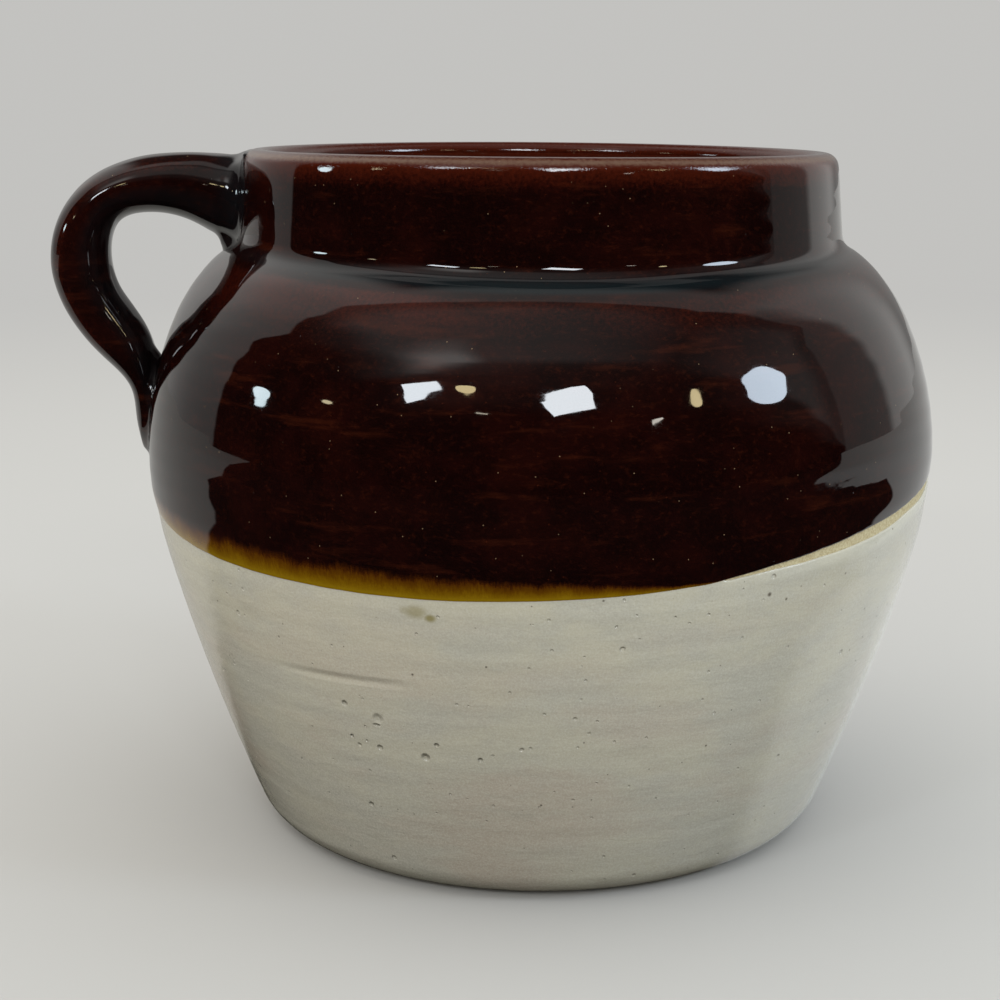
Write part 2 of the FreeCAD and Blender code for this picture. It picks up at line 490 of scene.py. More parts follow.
class Workbench:
    """Blender's own modelling tools, as every piece here uses them."""

    @staticmethod
    def clear_selection() -> None:
        """Leaves edit mode and selects nothing."""
        if bpy.context.mode != "OBJECT":
            bpy.ops.object.mode_set(mode="OBJECT")
        bpy.ops.object.select_all(action="DESELECT")

    @staticmethod
    def select(action: str = "SELECT") -> None:
        """Selects or deselects all vertices in edit mode."""
        bpy.ops.mesh.select_all(action=action)

    @staticmethod
    def drawn_line(name: str, points: Sequence[Point2]) -> Piece:
        """Draws a run of edges in the plane of radius and height, and leaves it in edit mode.

        Args:
            name: The new object's name.
            points: Radius and height of each point, in order.

        Returns:
            The object, with every vertex selected.
        """
        Workbench.clear_selection()
        bpy.ops.mesh.primitive_plane_add(size=MM, location=(0, 0, 0))
        piece = bpy.context.object
        piece.name = piece.data.name = name
        bpy.ops.object.mode_set(mode="EDIT")
        Workbench.select()
        bpy.ops.mesh.merge(type="CENTER")
        bpy.ops.transform.translate(value=(points[0][0], 0, points[0][1]))
        for here, there in zip(points, points[1:]):
            step = (there[0] - here[0], 0, there[1] - here[1])
            bpy.ops.mesh.extrude_vertices_move(TRANSFORM_OT_translate={"value": step})
        Workbench.select()
        return piece

    @staticmethod
    def thrown(name: str, points: Sequence[Point2], steps: int) -> Piece:
        """Spins a closed run of points round the pot's axis, as a wheel does.

        Args:
            name: The new object's name.
            points: Radius and height of each point; the last joins the first, or both are on the axis.
            steps: Faces round the axis.

        Returns:
            The closed piece, in object mode, with its faces outwards.
        """
        on_axis = points[0][0] < WELD and points[-1][0] < WELD
        loop = list(points) if on_axis else [*points, points[0]]
        piece = Workbench.drawn_line(name, loop)
        bpy.ops.mesh.remove_doubles(threshold=WELD)
        Workbench.select()
        bpy.ops.mesh.spin(steps=steps, angle=2 * math.pi, center=(0, 0, 0), axis=(0, 0, 1))
        Workbench.select()
        bpy.ops.mesh.remove_doubles(threshold=WELD)
        bpy.ops.mesh.normals_make_consistent(inside=False)
        bpy.ops.object.mode_set(mode="OBJECT")
        return piece

    @staticmethod
    def vertices(piece: Piece) -> np.ndarray:
        """Reads where a piece's vertices are.

        Args:
            piece: The piece.

        Returns:
            One row of x, y, z for each vertex.
        """
        places = np.zeros(len(piece.data.vertices) * 3)
        piece.data.vertices.foreach_get("co", places)
        return places.reshape(-1, 3)

    @staticmethod
    def put_back(piece: Piece, places: np.ndarray) -> None:
        """Moves a piece's vertices to new places."""
        piece.data.vertices.foreach_set("co", places.astype(np.float32).ravel())
        piece.data.update()

    @staticmethod
    def note(piece: Piece, **numbers: np.ndarray | float) -> None:
        """Writes named numbers on every vertex, for a material to read.

        Args:
            piece: The piece.
            numbers: For each attribute's name, one number for all vertices or one for each.
        """
        for name, values in numbers.items():
            attribute = piece.data.attributes.new(name, "FLOAT", "POINT")
            attribute.data.foreach_set("value", np.full(len(piece.data.vertices), values, np.float32))

    @staticmethod
    def nearest(places: np.ndarray, marks: np.ndarray) -> np.ndarray:
        """Finds the mark that is nearest to each place.

        Args:
            places: One row for each place.
            marks: One row for each mark.

        Returns:
            The number of a mark for each place.
        """
        blocks = (places[start:start + NEAREST_BLOCK] for start in range(0, len(places), NEAREST_BLOCK))
        return np.concatenate([
            ((block[:, None] - marks[None]) ** 2).sum(-1).argmin(axis=1) for block in blocks
        ])


class Section:
    """The cross-section of a coat on the pot: where each of its points lies along and through it."""

    def __init__(self, outline: Outline) -> None:
        """Starts an empty section.

        Args:
            outline: The outline that the coat lies on.
        """
        self.outline = outline
        self.length: list[float] = []
        self.proud: list[float] = []

    def run(self, lengths: Sequence[float], proud: float | Sequence[float]) -> None:
        """Adds points at lengths along the outline, standing so far proud of it."""
        self.length += list(lengths)
        self.proud += list(np.broadcast_to(proud, len(lengths)))

    def points(self) -> np.ndarray:
        """Radius and height of every point."""
        return self.outline.place(np.array(self.length), np.array(self.proud))

    def thrown(self, name: str, steps: int) -> tuple[Piece, np.ndarray, np.ndarray, np.ndarray]:
        """Spins the section, and finds each vertex's own place in it again.

        Args:
            name: The new object's name.
            steps: Faces round the axis.

        Returns:
            The piece, and for each vertex its angle round the axis, its length and how proud it is.
        """
        points = self.points()
        piece = Workbench.thrown(name, [tuple(point) for point in points], steps)
        places = Workbench.vertices(piece)
        angles, radius = from_the_axis(places)
        found = Workbench.nearest(np.stack([radius, places[:, 2]], 1), points)
        return piece, angles, np.array(self.length)[found], np.array(self.proud)[found]


def from_the_axis(places: np.ndarray) -> tuple[np.ndarray, np.ndarray]:
    """The angle round the axis and the radius of each place."""
    return np.arctan2(places[:, 1], places[:, 0]), np.hypot(places[:, 0], places[:, 1])


def round_the_axis(angles: np.ndarray, section: np.ndarray) -> np.ndarray:
    """Turns rows of radius and height into x, y, z at their angles."""
    radius, height = section.T
    return np.stack([radius * np.cos(angles), radius * np.sin(angles), height], 1)


# ---------------------------------------------------------------- materials


class Wire:
    """A number, colour, vector or shader that a graph works out. Numbers add and multiply as usual."""

    def __init__(self, graph: "Graph", socket: bpy.types.NodeSocket) -> None:
        """Holds an output of one of the graph's nodes."""
        self.graph, self.socket = graph, socket

    def also(self, output: str) -> "Wire":
        """Another output of the same node."""
        return Wire(self.graph, self.socket.node.outputs[output])

    def __add__(self, other: "Wire | float") -> "Wire":
        """The sum of two."""
        return self.graph.math("ADD", self, other)

    def __sub__(self, other: "Wire | float") -> "Wire":
        """What is left when another is taken away."""
        return self.graph.math("SUBTRACT", self, other)

    def __rsub__(self, other: float) -> "Wire":
        """What is left of a number when this is taken away."""
        return self.graph.math("SUBTRACT", other, self)

    def __mul__(self, other: "Wire | float") -> "Wire":
        """The product of two."""
        return self.graph.math("MULTIPLY", self, other)


class Graph:
    """Builds the nodes of one material, or of the world."""

    def __init__(self, owner: Material | bpy.types.World) -> None:
        """Starts on the nodes of a material or of the world.

        Args:
            owner: What the nodes belong to.
        """
        owner.use_nodes = True
        self.owner = owner
        self.tree = owner.node_tree
        self.place = self.node("TexCoord", "Object")
        self.direction = self.place.also("Generated")

    @classmethod
    def of_material(cls, name: str) -> "Graph":
        """Makes a material with one Principled shader.

        Args:
            name: The material's name.

        Returns:
            The graph of its nodes.
        """
        graph = cls(bpy.data.materials.new(name))
        graph.shader = graph.tree.nodes["Principled BSDF"]
        return graph

    def node(self, kind: str, output: str | int, inputs: dict | None = None, **settings: object) -> Wire:
        """Adds a node.

        Args:
            kind: Its kind, without the start that the names of all shader nodes share.
            output: The output that is wanted.
            inputs: What each input is fed from or set to.
            settings: The node's own settings.

        Returns:
            The wanted output.
        """
        made = self.tree.nodes.new("ShaderNode" + kind)
        for name, value in settings.items():
            setattr(made, name, value)
        self.feed(made, inputs or {})
        return Wire(self, made.outputs[output])

    def feed(self, node: bpy.types.Node, inputs: dict) -> None:
        """Feeds a node's inputs from wires, or sets them to values.

        Args:
            node: The node.
            inputs: For each input's name or number, a wire or a value.
        """
        for name, value in inputs.items():
            target = node.inputs[name]
            if isinstance(value, Wire):
                self.tree.links.new(value.socket, target)
            else:
                target.default_value = (*value, 1.0) if target.type == "RGBA" else value

    def math(self, operation: str, first: Wire | float, second: Wire | float = 0.0) -> Wire:
        """One step of arithmetic."""
        return self.node("Math", 0, {0: first, 1: second}, operation=operation)

    def length(self, vector: Wire) -> Wire:
        """How long a vector is."""
        return self.node("VectorMath", "Value", {0: vector}, operation="LENGTH")

    def split(self, vector: Wire) -> tuple[Wire, Wire, Wire]:
        """The x, y and z of a vector."""
        x = self.node("SeparateXYZ", "X", {"Vector": vector})
        return x, x.also("Y"), x.also("Z")

    def read(self, attribute: str) -> Wire:
        """A number noted on the vertices."""
        return self.node("Attribute", "Fac", attribute_name=attribute)

    def stretched(self, scale: Sequence[float], shift: Sequence[float] = (0, 0, 0)) -> Wire:
        """Object coordinates, scaled and shifted."""
        return self.node("Mapping", "Vector", {"Vector": self.place, "Scale": scale, "Location": shift})

    def noise(self, size: float, detail: float, rough: float, at: Wire | None = None) -> Wire:
        """Cloudy noise from 0 to 1.

        Args:
            size: Width of one cloud in metres.
            detail: How many finer layers it has.
            rough: How strong the finer layers are.
            at: Coordinates, or None for the object's own.

        Returns:
            The noise.
        """
        return self.node("TexNoise", "Fac", {"Vector": at or self.place, "Scale": 1.0 / size,
                                             "Detail": detail, "Roughness": rough})

    def dots(self, spacing: float, radius: float, share: float) -> Wire:
        """Scattered round dots: 1 inside a dot and 0 outside.

        Args:
            spacing: Width in millimetres of the cells that hold a dot each.
            radius: A dot's radius in millimetres.
            share: The share of cells that have one, from 0 to 1.

        Returns:
            The dots.
        """
        away = self.node("TexVoronoi", "Distance", {"Vector": self.place, "Scale": 1.0 / (spacing * MM)})
        near = self.graded(away, radius / spacing, DOT_CORE * radius / spacing)
        red = self.node("SeparateColor", "Red", {"Color": away.also("Color")})
        return near * self.math("LESS_THAN", red, share)

    def nearness(self, spot: Sequence[float], size: float, squeeze: Sequence[float]) -> Wire:
        """1 at a spot of the piece and 0 beyond its size.

        Args:
            spot: Where it is, in metres.
            size: Its radius.
            squeeze: Makes it narrower along an axis, by this factor.

        Returns:
            The nearness.
        """
        away = self.node("VectorMath", "Vector", {0: self.place, 1: spot}, operation="SUBTRACT")
        scaled = self.node("VectorMath", "Vector", {0: away, 1: squeeze}, operation="MULTIPLY")
        return self.graded(self.length(scaled), size, SPOT_CORE * size)

    def graded(self, value: Wire, low: float, high: float, bottom: float = 0.0, top: float = 1.0) -> Wire:
        """Maps low..high smoothly to bottom..top."""
        inputs = {"Value": value, "From Min": low, "From Max": high, "To Min": bottom, "To Max": top}
        return self.node("MapRange", "Result", inputs, interpolation_type="SMOOTHSTEP")

    def between(self, value: Wire, rise: float, full: float, fall: float, gone: float) -> Wire:
        """Rises from 0 to 1 between the first two numbers, and falls again between the last two."""
        return self.graded(value, rise, full) * self.graded(value, gone, fall)

    def mixed(self, share: Wire, first: Wire | Colour, second: Wire | Colour) -> Wire:
        """Mixes two colours."""
        return self.node("Mix", "Result", {"Factor": share, "A": first, "B": second}, data_type="RGBA")

    def layered(self, colour: Wire | Colour, *layers: tuple[Wire, Wire | Colour]) -> Wire:
        """Lays colours over a first one, in turn.

        Args:
            colour: The first colour.
            layers: For each further colour, its share and the colour.

        Returns:
            The colour that shows.
        """
        for share, over in layers:
            colour = self.mixed(share, colour, over)
        return colour

    def ramp(self, share: Wire, stops: Sequence[tuple[float, Colour]]) -> Wire:
        """Reads a colour from a run of stops.

        Args:
            share: Where on the run to read it, from 0 to 1.
            stops: Place and colour of each stop, rising.

        Returns:
            The colour.
        """
        made = self.node("ValToRGB", "Color", {"Fac": share})
        elements = made.socket.node.color_ramp.elements
        for index, (place, colour) in enumerate(stops):
            element = elements[index] if index < 2 else elements.new(place)
            element.position, element.color = place, (*colour, 1.0)
        return made

    def relief(self, *layers: tuple[Wire, float]) -> Wire:
        """Lays small reliefs over one another.

        Args:
            layers: For each relief, its height from 0 to 1 and what 1 means in millimetres.

        Returns:
            The bent normal.
        """
        normal: dict[str, Wire] = {}
        for height, depth in layers:
            inputs = {"Strength": 1.0, "Distance": depth * MM, "Height": height, **normal}
            normal = {"Normal": self.node("Bump", "Normal", inputs)}
        return normal["Normal"]

    def chosen(self, share: Wire, first: Wire, second: Wire) -> Wire:
        """Mixes two shaders; the second shows as strongly as the share says."""
        return self.node("MixShader", "Shader", {0: share, 1: first, 2: second})

    def finish(self, colour: Wire, rough: Wire | float, normal: Wire) -> Material:
        """Feeds the shader of a glaze or clay.

        Args:
            colour: Base colour.
            rough: Roughness.
            normal: Normal with its relief.

        Returns:
            The finished material.
        """
        inputs = {"Base Color": colour, "Roughness": rough, "Normal": normal, "IOR": GLAZE_INDEX}
        self.feed(self.shader, inputs)
        return self.owner


@dataclass(frozen=True)
class DarkGlaze:
    """Glossy brown glaze, near black where it is thick and red-brown where it breaks thin."""

    name: str = "dark_brown_glaze"
    thick: Colour = (0.0034, 0.0006, 0.0005)
    warm: Colour = (0.0078, 0.0012, 0.0008)
    thin: Colour = (0.040, 0.0055, 0.0020)
    bare: Colour = (0.088, 0.047, 0.030)
    # teal of thick pooled glaze, partly painted shade in the collar's hollow curve, the handle's joint and
    # the loop's inner side
    pooled: Colour = (0.0022, 0.0055, 0.0068)
    speck: Colour = (0.26, 0.18, 0.10)
    rust: Colour = (0.060, 0.012, 0.004)
    edge_line: Colour = (0.27, 0.175, 0.030)
    amber: Colour = (0.200, 0.120, 0.0035)
    gold: Colour = (0.145, 0.075, 0.0015)
    toffee: Colour = (0.086, 0.034, 0.0006)
    burnt: Colour = (0.044, 0.0110, 0.0007)
    roughness: float = 0.022
    roughness_range: float = 0.03

    def material(self) -> Material:
        """Makes the material.

        Returns:
            A material that reads the attributes thin and band, and the one where the glaze pools, which is
            partly painted shade.
        """
        graph = Graph.of_material(self.name)
        clouds = graph.noise(13 * MM, 5.0, 0.68, graph.stretched((0.7, 0.7, 1.0)))
        streaky = graph.noise(0.9 * MM, 4.0, 0.75, graph.stretched((0.6, 0.6, 1.0)))
        thrown = graph.noise(3.2 * MM, 3.0, 0.6, graph.stretched((0.14, 0.14, 1.0), (0.0, 0.0, 0.7)))
        thin = graph.read("thin") + (graph.noise(0.8 * MM, 3.0, 0.7) - 0.5) * 0.55
        colour = graph.layered(
            self.thick,
            (graph.graded(clouds, 0.40, 0.66), self.warm),
            (graph.graded(streaky, 0.50, 0.78, 0.0, 0.22), self.rust),
            (graph.graded(thrown, 0.56, 0.74, 0.0, 0.20), self.rust),
            (graph.graded(thin, 0.10, 0.62), self.thin),
            (graph.graded(thin, 0.70, 1.05), self.bare),
            (graph.dots(1.7, 0.16, 0.35) * 0.55, self.rust),
            (graph.dots(2.4, 0.14, 0.6) * 0.80, self.speck),
            (graph.read("pool"), self.pooled),
        )
        rough = graph.graded(graph.noise(4 * MM, 4.0, 0.65), 0.35, 0.8, self.roughness,
                             self.roughness + self.roughness_range)
        lip_grain = graph.noise(0.7 * MM, 3.0, 0.7) * graph.graded(graph.read("thin"), 0.35, 0.75)
        normal = graph.relief(
            (graph.noise(11 * MM, 2.0, 0.4), 0.022),
            (lip_grain, 0.10),
            (graph.noise(1.5 * MM, 1.0, 0.4), 0.0016),
            (1.0 - graph.dots(3.7, 0.15, 0.35), 0.04),
        )
        return graph.finish(self._edge(graph, colour), rough, normal)

    def _edge(self, graph: Graph, colour: Wire) -> Wire:
        """Colours the amber band above the coat's lower edge, with its fine upright streaks.

        Args:
            graph: The material's nodes.
            colour: The glaze's colour above the band.

        Returns:
            The colour with the band.
        """
        streaks = graph.noise(0.34 * MM, 3.0, 0.75, graph.stretched((1.0, 1.0, 0.13)))
        blotches = graph.noise(5.0 * MM, 3.0, 0.6, graph.stretched((1.0, 1.0, 0.6)))
        band = graph.read("band")
        reach = graph.graded(band, 0.05, 0.6, 0.12, 0.55)
        band = band + (streaks - 0.5) * reach + (blotches - 0.5) * reach * 1.1
        stops = ((0.0, self.edge_line), (0.06, self.amber), (0.15, self.amber), (0.34, self.gold),
                 (0.60, self.toffee), (0.86, self.burnt))
        return graph.mixed(graph.graded(band, 0.74, 1.12), graph.ramp(band, stops), colour)


@dataclass(frozen=True)
class Mark:
    """A small flaw on the pale glaze: its direction and height, its radius and how deep it is."""

    azimuth: float
    height: float
    size: float
    depth: float = 1.0
    squeeze: float = 1.0


@dataclass(frozen=True)
class PaleGlaze:
    """Satin grey-cream glaze over the lower half, with iron specks, pits and throwing lines."""

    name: str = "pale_satin_glaze"
    cream: Colour = (0.415, 0.394, 0.314)
    grey: Colour = (0.372, 0.360, 0.306)
    rose: Colour = (0.385, 0.332, 0.268)
    smudge_and_shade: Colour = (0.265, 0.252, 0.212)
    speck: Colour = (0.075, 0.060, 0.045)
    stain: Colour = (0.20, 0.17, 0.060)
    pale_grain_and_sheen: Colour = (0.52, 0.510, 0.435)
    roughness: float = 0.08
    roughness_range: float = 0.12
    # scattered dots: spacing, radius, the share of cells that have one, and how strong or how deep
    specks: tuple[tuple[float, ...], ...] = (
        (2.1, 0.13, 0.5, 0.55), (3.4, 0.22, 0.35, 0.75), (7.0, 0.36, 0.5, 0.85),
    )
    pinholes: tuple[tuple[float, ...], ...] = ((3.7, 0.40, 0.6, 0.24), (6.6, 0.75, 0.5, 0.36))
    pits: tuple[Mark, ...] = (
        Mark(-123.8, 48.6, 0.9), Mark(-118.6, 46.2, 1.5, 0.8), Mark(-119.2, 38.7, 0.9),
        Mark(-123.8, 40.5, 0.6), Mark(-109.9, 41.2, 0.7), Mark(-111.9, 37.8, 1.2, 1.2),
        Mark(-123.4, 22.8, 0.8), Mark(-103.5, 38.3, 0.7), Mark(-119.0, 44.4, 1.1, 0.8, 2.0),
    )
    dark_dots: tuple[Mark, ...] = (
        Mark(-64.0, 74.1, 0.75), Mark(-50.0, 75.0, 0.5), Mark(-61.0, 72.3, 0.5),
        Mark(-58.7, 74.6, 0.4), Mark(-87.0, 76.2, 0.4), Mark(-103.0, 70.0, 0.35),
    )
    stains: tuple[Mark, ...] = (
        Mark(-110.7, 72.8, 3.6, 0.55, 1.7), Mark(-108.8, 71.6, 1.8, 0.85, 1.4),
        Mark(-112.0, 73.0, 2.0, 0.38, 1.5),
    )
    # a scored groove: the directions where it starts, is full, fades and ends
    groove_turn: tuple[float, ...] = (-138.0, -126.0, -118.0, -111.0)
    groove_height: float = 54.5
    groove_climb: float = 0.030            # millimetres for each degree
    groove_half_width: float = 1.5

    def material(self, outlines: PotOutlines) -> Material:
        """Makes the material.

        Args:
            outlines: Where the outside lies, for the marks on it.

        Returns:
            A material that reads the attributes low, a painted shade towards the bottom and the left, and
            edge, a lighter line that is partly a painted highlight.
        """
        graph = Graph.of_material(self.name)
        clouds = graph.noise(12 * MM, 5.0, 0.66, graph.stretched((0.55, 0.55, 1.0)))
        blush = graph.noise(26 * MM, 4.0, 0.6, graph.stretched((0.5, 0.5, 1.3), (0.3, 0.1, 0.2)))
        wiped = graph.noise(6.5 * MM, 5.0, 0.68, graph.stretched((0.36, 0.36, 1.0)))
        grain = graph.noise(0.46 * MM, 2.0, 0.75)
        low = graph.read("low")
        pits, stains, dark_dots = (self._marks(graph, outlines, marks)
                                   for marks in (self.pits, self.stains, self.dark_dots))
        colour = graph.layered(
            self.grey,
            (graph.graded(clouds, 0.36, 0.64), self.cream),
            # painted shade: where low is high, towards the bottom and the left, the glaze is laid rosier and
            # darker
            (graph.graded(blush, 0.44, 0.66) * (low + 0.25), self.rose),
            (low * 0.42, self.smudge_and_shade),
            (graph.graded(wiped, 0.56, 0.80, 0.0, 0.45), self.smudge_and_shade),
            (graph.graded(grain, 0.34, 0.70, 0.0, 0.34), self.pale_grain_and_sheen),
            # painted highlight along the rolled top edge of the glaze, partly the paler colour of its thicker
            # glaze
            (graph.read("edge") * 0.55, self.pale_grain_and_sheen),
            *((graph.dots(*dots) * strength, self.speck) for *dots, strength in self.specks),
            (stains, self.stain),
            (dark_dots * 0.9, self.speck),
            # painted shade in the pits
            (pits * 0.30, self.smudge_and_shade),
        )
        rough = graph.graded(graph.noise(2.4 * MM, 4.0, 0.6), 0.3, 0.75, self.roughness,
                             self.roughness + self.roughness_range)
        normal = graph.relief(
            (graph.noise(4.2 * MM, 4.0, 0.62, graph.stretched((0.20, 0.20, 1.0))), 0.17),
            (graph.noise(8.0 * MM, 4.0, 0.65, graph.stretched((0.6, 0.6, 1.0))), 0.24),
            (graph.noise(1.2 * MM, 3.0, 0.65), 0.045),
            (grain, 0.020),
            *((1.0 - graph.dots(*dots), depth) for *dots, depth in self.pinholes),
            (1.0 - pits, 0.60),
            (1.0 - self._groove(graph), 0.34),
        )
        return graph.finish(colour, rough, normal)

    def _groove(self, graph: Graph) -> Wire:
        """Finds the groove that a tool scored round part of the wall.

        Args:
            graph: The material's nodes.

        Returns:
            1 along the groove and 0 beside it.
        """
        x, y, z = graph.split(graph.place)
        turn = graph.math("ARCTAN2", y, x) * math.degrees(1.0)
        middle = (turn - self.groove_turn[0]) * (self.groove_climb * MM) + self.groove_height * MM
        off = graph.math("ABSOLUTE", z - middle)
        return graph.graded(off, self.groove_half_width * MM, 0.0) * graph.between(turn, *self.groove_turn)

    @staticmethod
    def _marks(graph: Graph, outlines: PotOutlines, marks: Sequence[Mark]) -> Wire:
        """Finds the places inside some marks.

        Args:
            graph: The material's nodes.
            outlines: Where the outside lies.
            marks: The marks.

        Returns:
            From 0 outside all of them to a mark's depth in its middle.
        """
        total: Wire | float = 0.0
        for mark in marks:
            radius = float(outlines.body.place(outlines.body.at_height(mark.height * MM))[0])
            spot = (*polar((0.0, 0.0), radius, mark.azimuth), mark.height * MM)
            near = graph.nearness(spot, mark.size * MM, (1.0, 1.0, mark.squeeze))
            total = graph.math("MAXIMUM", total, near * mark.depth)
        return total


@dataclass(frozen=True)
class DryClay:
    """Fired clay with no glaze on it."""

    name: str = "dry_clay"
    light: Colour = (0.50, 0.45, 0.28)
    dark: Colour = (0.36, 0.29, 0.16)
    roughness: float = 0.82

    def material(self) -> Material:
        """Makes the material.

        Returns:
            The material.
        """
        graph = Graph.of_material(self.name)
        grain = graph.noise(0.6 * MM, 4.0, 0.75)
        colour = graph.mixed(graph.graded(grain, 0.35, 0.65), self.dark, self.light)
        return graph.finish(colour, self.roughness, graph.relief((grain, 0.10)))


# ---------------------------------------------------------------- the pieces


@dataclass
class ThrownPot:
    """The clay and the coats that were thrown or dipped round the pot's axis."""

    outlines: PotOutlines
    hand: PottersHand
    steps: int = 360
    clay_steps: int = 240
    ring_gap: float = 1.2 * MM
    pale_thickness: float = 0.28 * MM
    buried: float = 0.35 * MM          # how far the end of a coat reaches in under what it lies on
    overlap: float = 2.4 * MM          # the dark glaze runs over the pale one by this
    pale_start: float = 0.9 * MM       # the satin glaze starts this high over the table
    pale_nose: float = 0.45 * MM       # rounding of its upper edge
    dark_nose: float = 0.55 * MM       # rounding of the dark glaze's lower edge
    inside_depth: float = 0.5 * MM     # the clay's inside lies this deep under the glaze on it
    pool_width: float = 62.0           # degrees over which the glaze pools under the collar, partly painted shade
    # how thin the dark glaze is near the crest, on it and at the lip's corner; and inside the pot
    lip_thin: tuple[float, ...] = (0.42, 0.28, 0.30)
    wall_thin: float = 0.30
    bare_band: float = 2.3 * MM        # height of the clay left bare between them, away from the handle
    amber_band: tuple[Point2, ...] = (     # direction in degrees, height of the band in millimetres
        (-180, 6.0), (-118, 5.8), (-101, 4.9), (-94, 4.1), (-87, 3.1), (-78, 1.3), (-72, 0.5), (-66, 0.0),
        (62, 0.0), (95, 2.6), (130, 5.2), (180, 6.0),
    )
    bare_turn: tuple[float, ...] = (-76.0, -44.0, 35.0, 70.0)    # where it starts, is full, fades and ends

    def build(self, dark: Material, pale: Material, clay: Material) -> None:
        """Makes the four pieces and dresses them.

        Args:
            dark: The brown glaze.
            pale: The satin glaze.
            clay: The dry clay.
        """
        for maker, material, slot, node in (
            (self.clay_pot, clay, Slot.PALE, "pot_body"),
            (self.pale_coat, pale, Slot.PALE, None),
            (self.dark_coat, dark, Slot.DARK, "dark_glaze"),
            (self.inside_coat, dark, Slot.DARK, None),
        ):
            dress(maker(), material, slot, node)

    def _bare(self, angles: np.ndarray) -> np.ndarray:
        """1 where the clay is left bare between the glazes, and 0 where the dark one overlaps."""
        return plateau(np.degrees(angles), *self.bare_turn)

    def _outside_set_in(self, angles: np.ndarray, heights: np.ndarray) -> np.ndarray:
        """How far the hand pushed the outside in at each vertex."""
        return self.hand.pushed_in(angles, heights, self.outlines.shape.belly_radius)

    def _settle(self, piece: Piece, angles: np.ndarray, section: np.ndarray) -> None:
        """Puts a piece's vertices at their angles, radii and heights, and lets them sag."""
        Workbench.put_back(piece, self.hand.sagged(round_the_axis(angles, section)))

    def clay_pot(self) -> Piece:
        """Makes the thrown clay, a little inside every coat, with its dry foot.

        Returns:
            The piece, not yet dressed.
        """
        shape, outlines = self.outlines.shape, self.outlines
        body, inside = outlines.body, outlines.inside
        ring_outer = outlines.foot[0]
        ring_inner = ring_outer - shape.foot_ring_width
        under = [
            (0.0, shape.foot_hollow_depth),
            (0.5 * ring_inner, shape.foot_hollow_depth),
            (ring_inner - shape.foot_hollow_bevel, shape.foot_hollow_depth),
            (ring_inner, 0.0),
            (ring_inner + 0.5 * shape.foot_ring_width, 0.0),
        ]
        outside = body.place(spaced(0.0, body.total, self.ring_gap))
        set_in = smooth(outside[:, 1], 0.0, 4.0 * MM) * self.pale_thickness
        outside = body.place(spaced(0.0, body.total, self.ring_gap), -set_in)
        within = inside.place(spaced(0.0, inside.total, 2.0 * self.ring_gap), -self.inside_depth)
        profile = [*under, *map(tuple, outside), *map(tuple, within)]
        piece = Workbench.thrown("clay_pot", profile, self.clay_steps)
        places = Workbench.vertices(piece)
        angles, radius = from_the_axis(places)
        wall = body.place(body.at_height(places[:, 2]))[:, 0]
        outer = (radius > wall - 2 * MM) & (places[:, 2] > 2 * MM)
        moved = np.where(outer, self._outside_set_in(angles, places[:, 2]), 0.0)
        self._settle(piece, angles, np.stack([radius - moved, places[:, 2]], 1))
        return piece

    def pale_coat(self) -> Piece:
        """Makes the satin glaze from just above the foot up to the dip line, or to the bare band.

        Returns:
            The piece, not yet dressed.
        """
        body = self.outlines.body
        start, top = body.at_height(self.pale_start), body.at_height(self.hand.dip_height)
        thick, nose = self.pale_thickness, self.pale_nose
        section = Section(body)
        section.run([start, start + 0.5 * nose, start + 1.2 * nose], [-self.buried, -0.12 * MM, -0.04 * MM])
        section.run(spaced(start + 2.5 * nose, top - 8 * MM, 0.8 * MM), 0.0)
        section.run(spaced(top - 7.6 * MM, top - nose, 0.4 * MM), 0.0)
        turns = np.radians(np.linspace(0, 90, 6))[1:]
        section.run(top - nose + nose * np.sin(turns), -thick + thick * np.cos(turns))
        section.run([top], -self.buried)
        section.run(spaced(top - 1 * MM, start + 2 * MM, 4 * MM), -self.buried)
        piece, angles, length, proud = section.thrown("pale_glaze_coat", self.steps)
        dip = body.at_height(self.hand.dip_line(angles, self.outlines.shape.belly_radius))
        bare = self._bare(angles)
        wander = 0.35 * MM * lumps(ring(angles, 95 * MM), 13 * MM, seed=4.4)
        edge = dip + self.overlap * (1 - smooth(bare, 0.0, 0.08)) + bare * (wander - 0.1 * MM)
        length = length + smooth(length, top - 30 * MM, top - 8 * MM) * (edge - top)
        below = edge - length
        roll = 0.16 * MM * bell(below, 1.6 * MM, 1.5 * MM)
        valley = 0.10 * MM * bell(below, 6.0 * MM, 2.4 * MM)
        outer = proud > -0.9 * self.buried
        proud = proud + np.where(outer, bare * (roll - valley), 0.0)
        place = body.place(length, proud)
        place[:, 0] -= self._outside_set_in(angles, place[:, 1]) * smooth(place[:, 1], 1.0 * MM, 5.0 * MM)
        self._settle(piece, angles, place)
        left = smooth(-np.cos(angles - math.radians(25)), 0.0, 1.0)
        Workbench.note(
            piece,
            # painted shade: the satin glaze darker towards the bottom and on the left, away from the round
            # lamp
            low=(1 - smooth(place[:, 1], 20 * MM, 75 * MM)) * (0.45 + 0.55 * left),
            # a lighter line under the rolled top edge where the clay is bare above it: partly thicker glaze,
            # partly a painted highlight
            edge=np.clip(bare * bell(below, 1.4 * MM, 1.6 * MM), 0.0, 1.0),
        )
        return piece

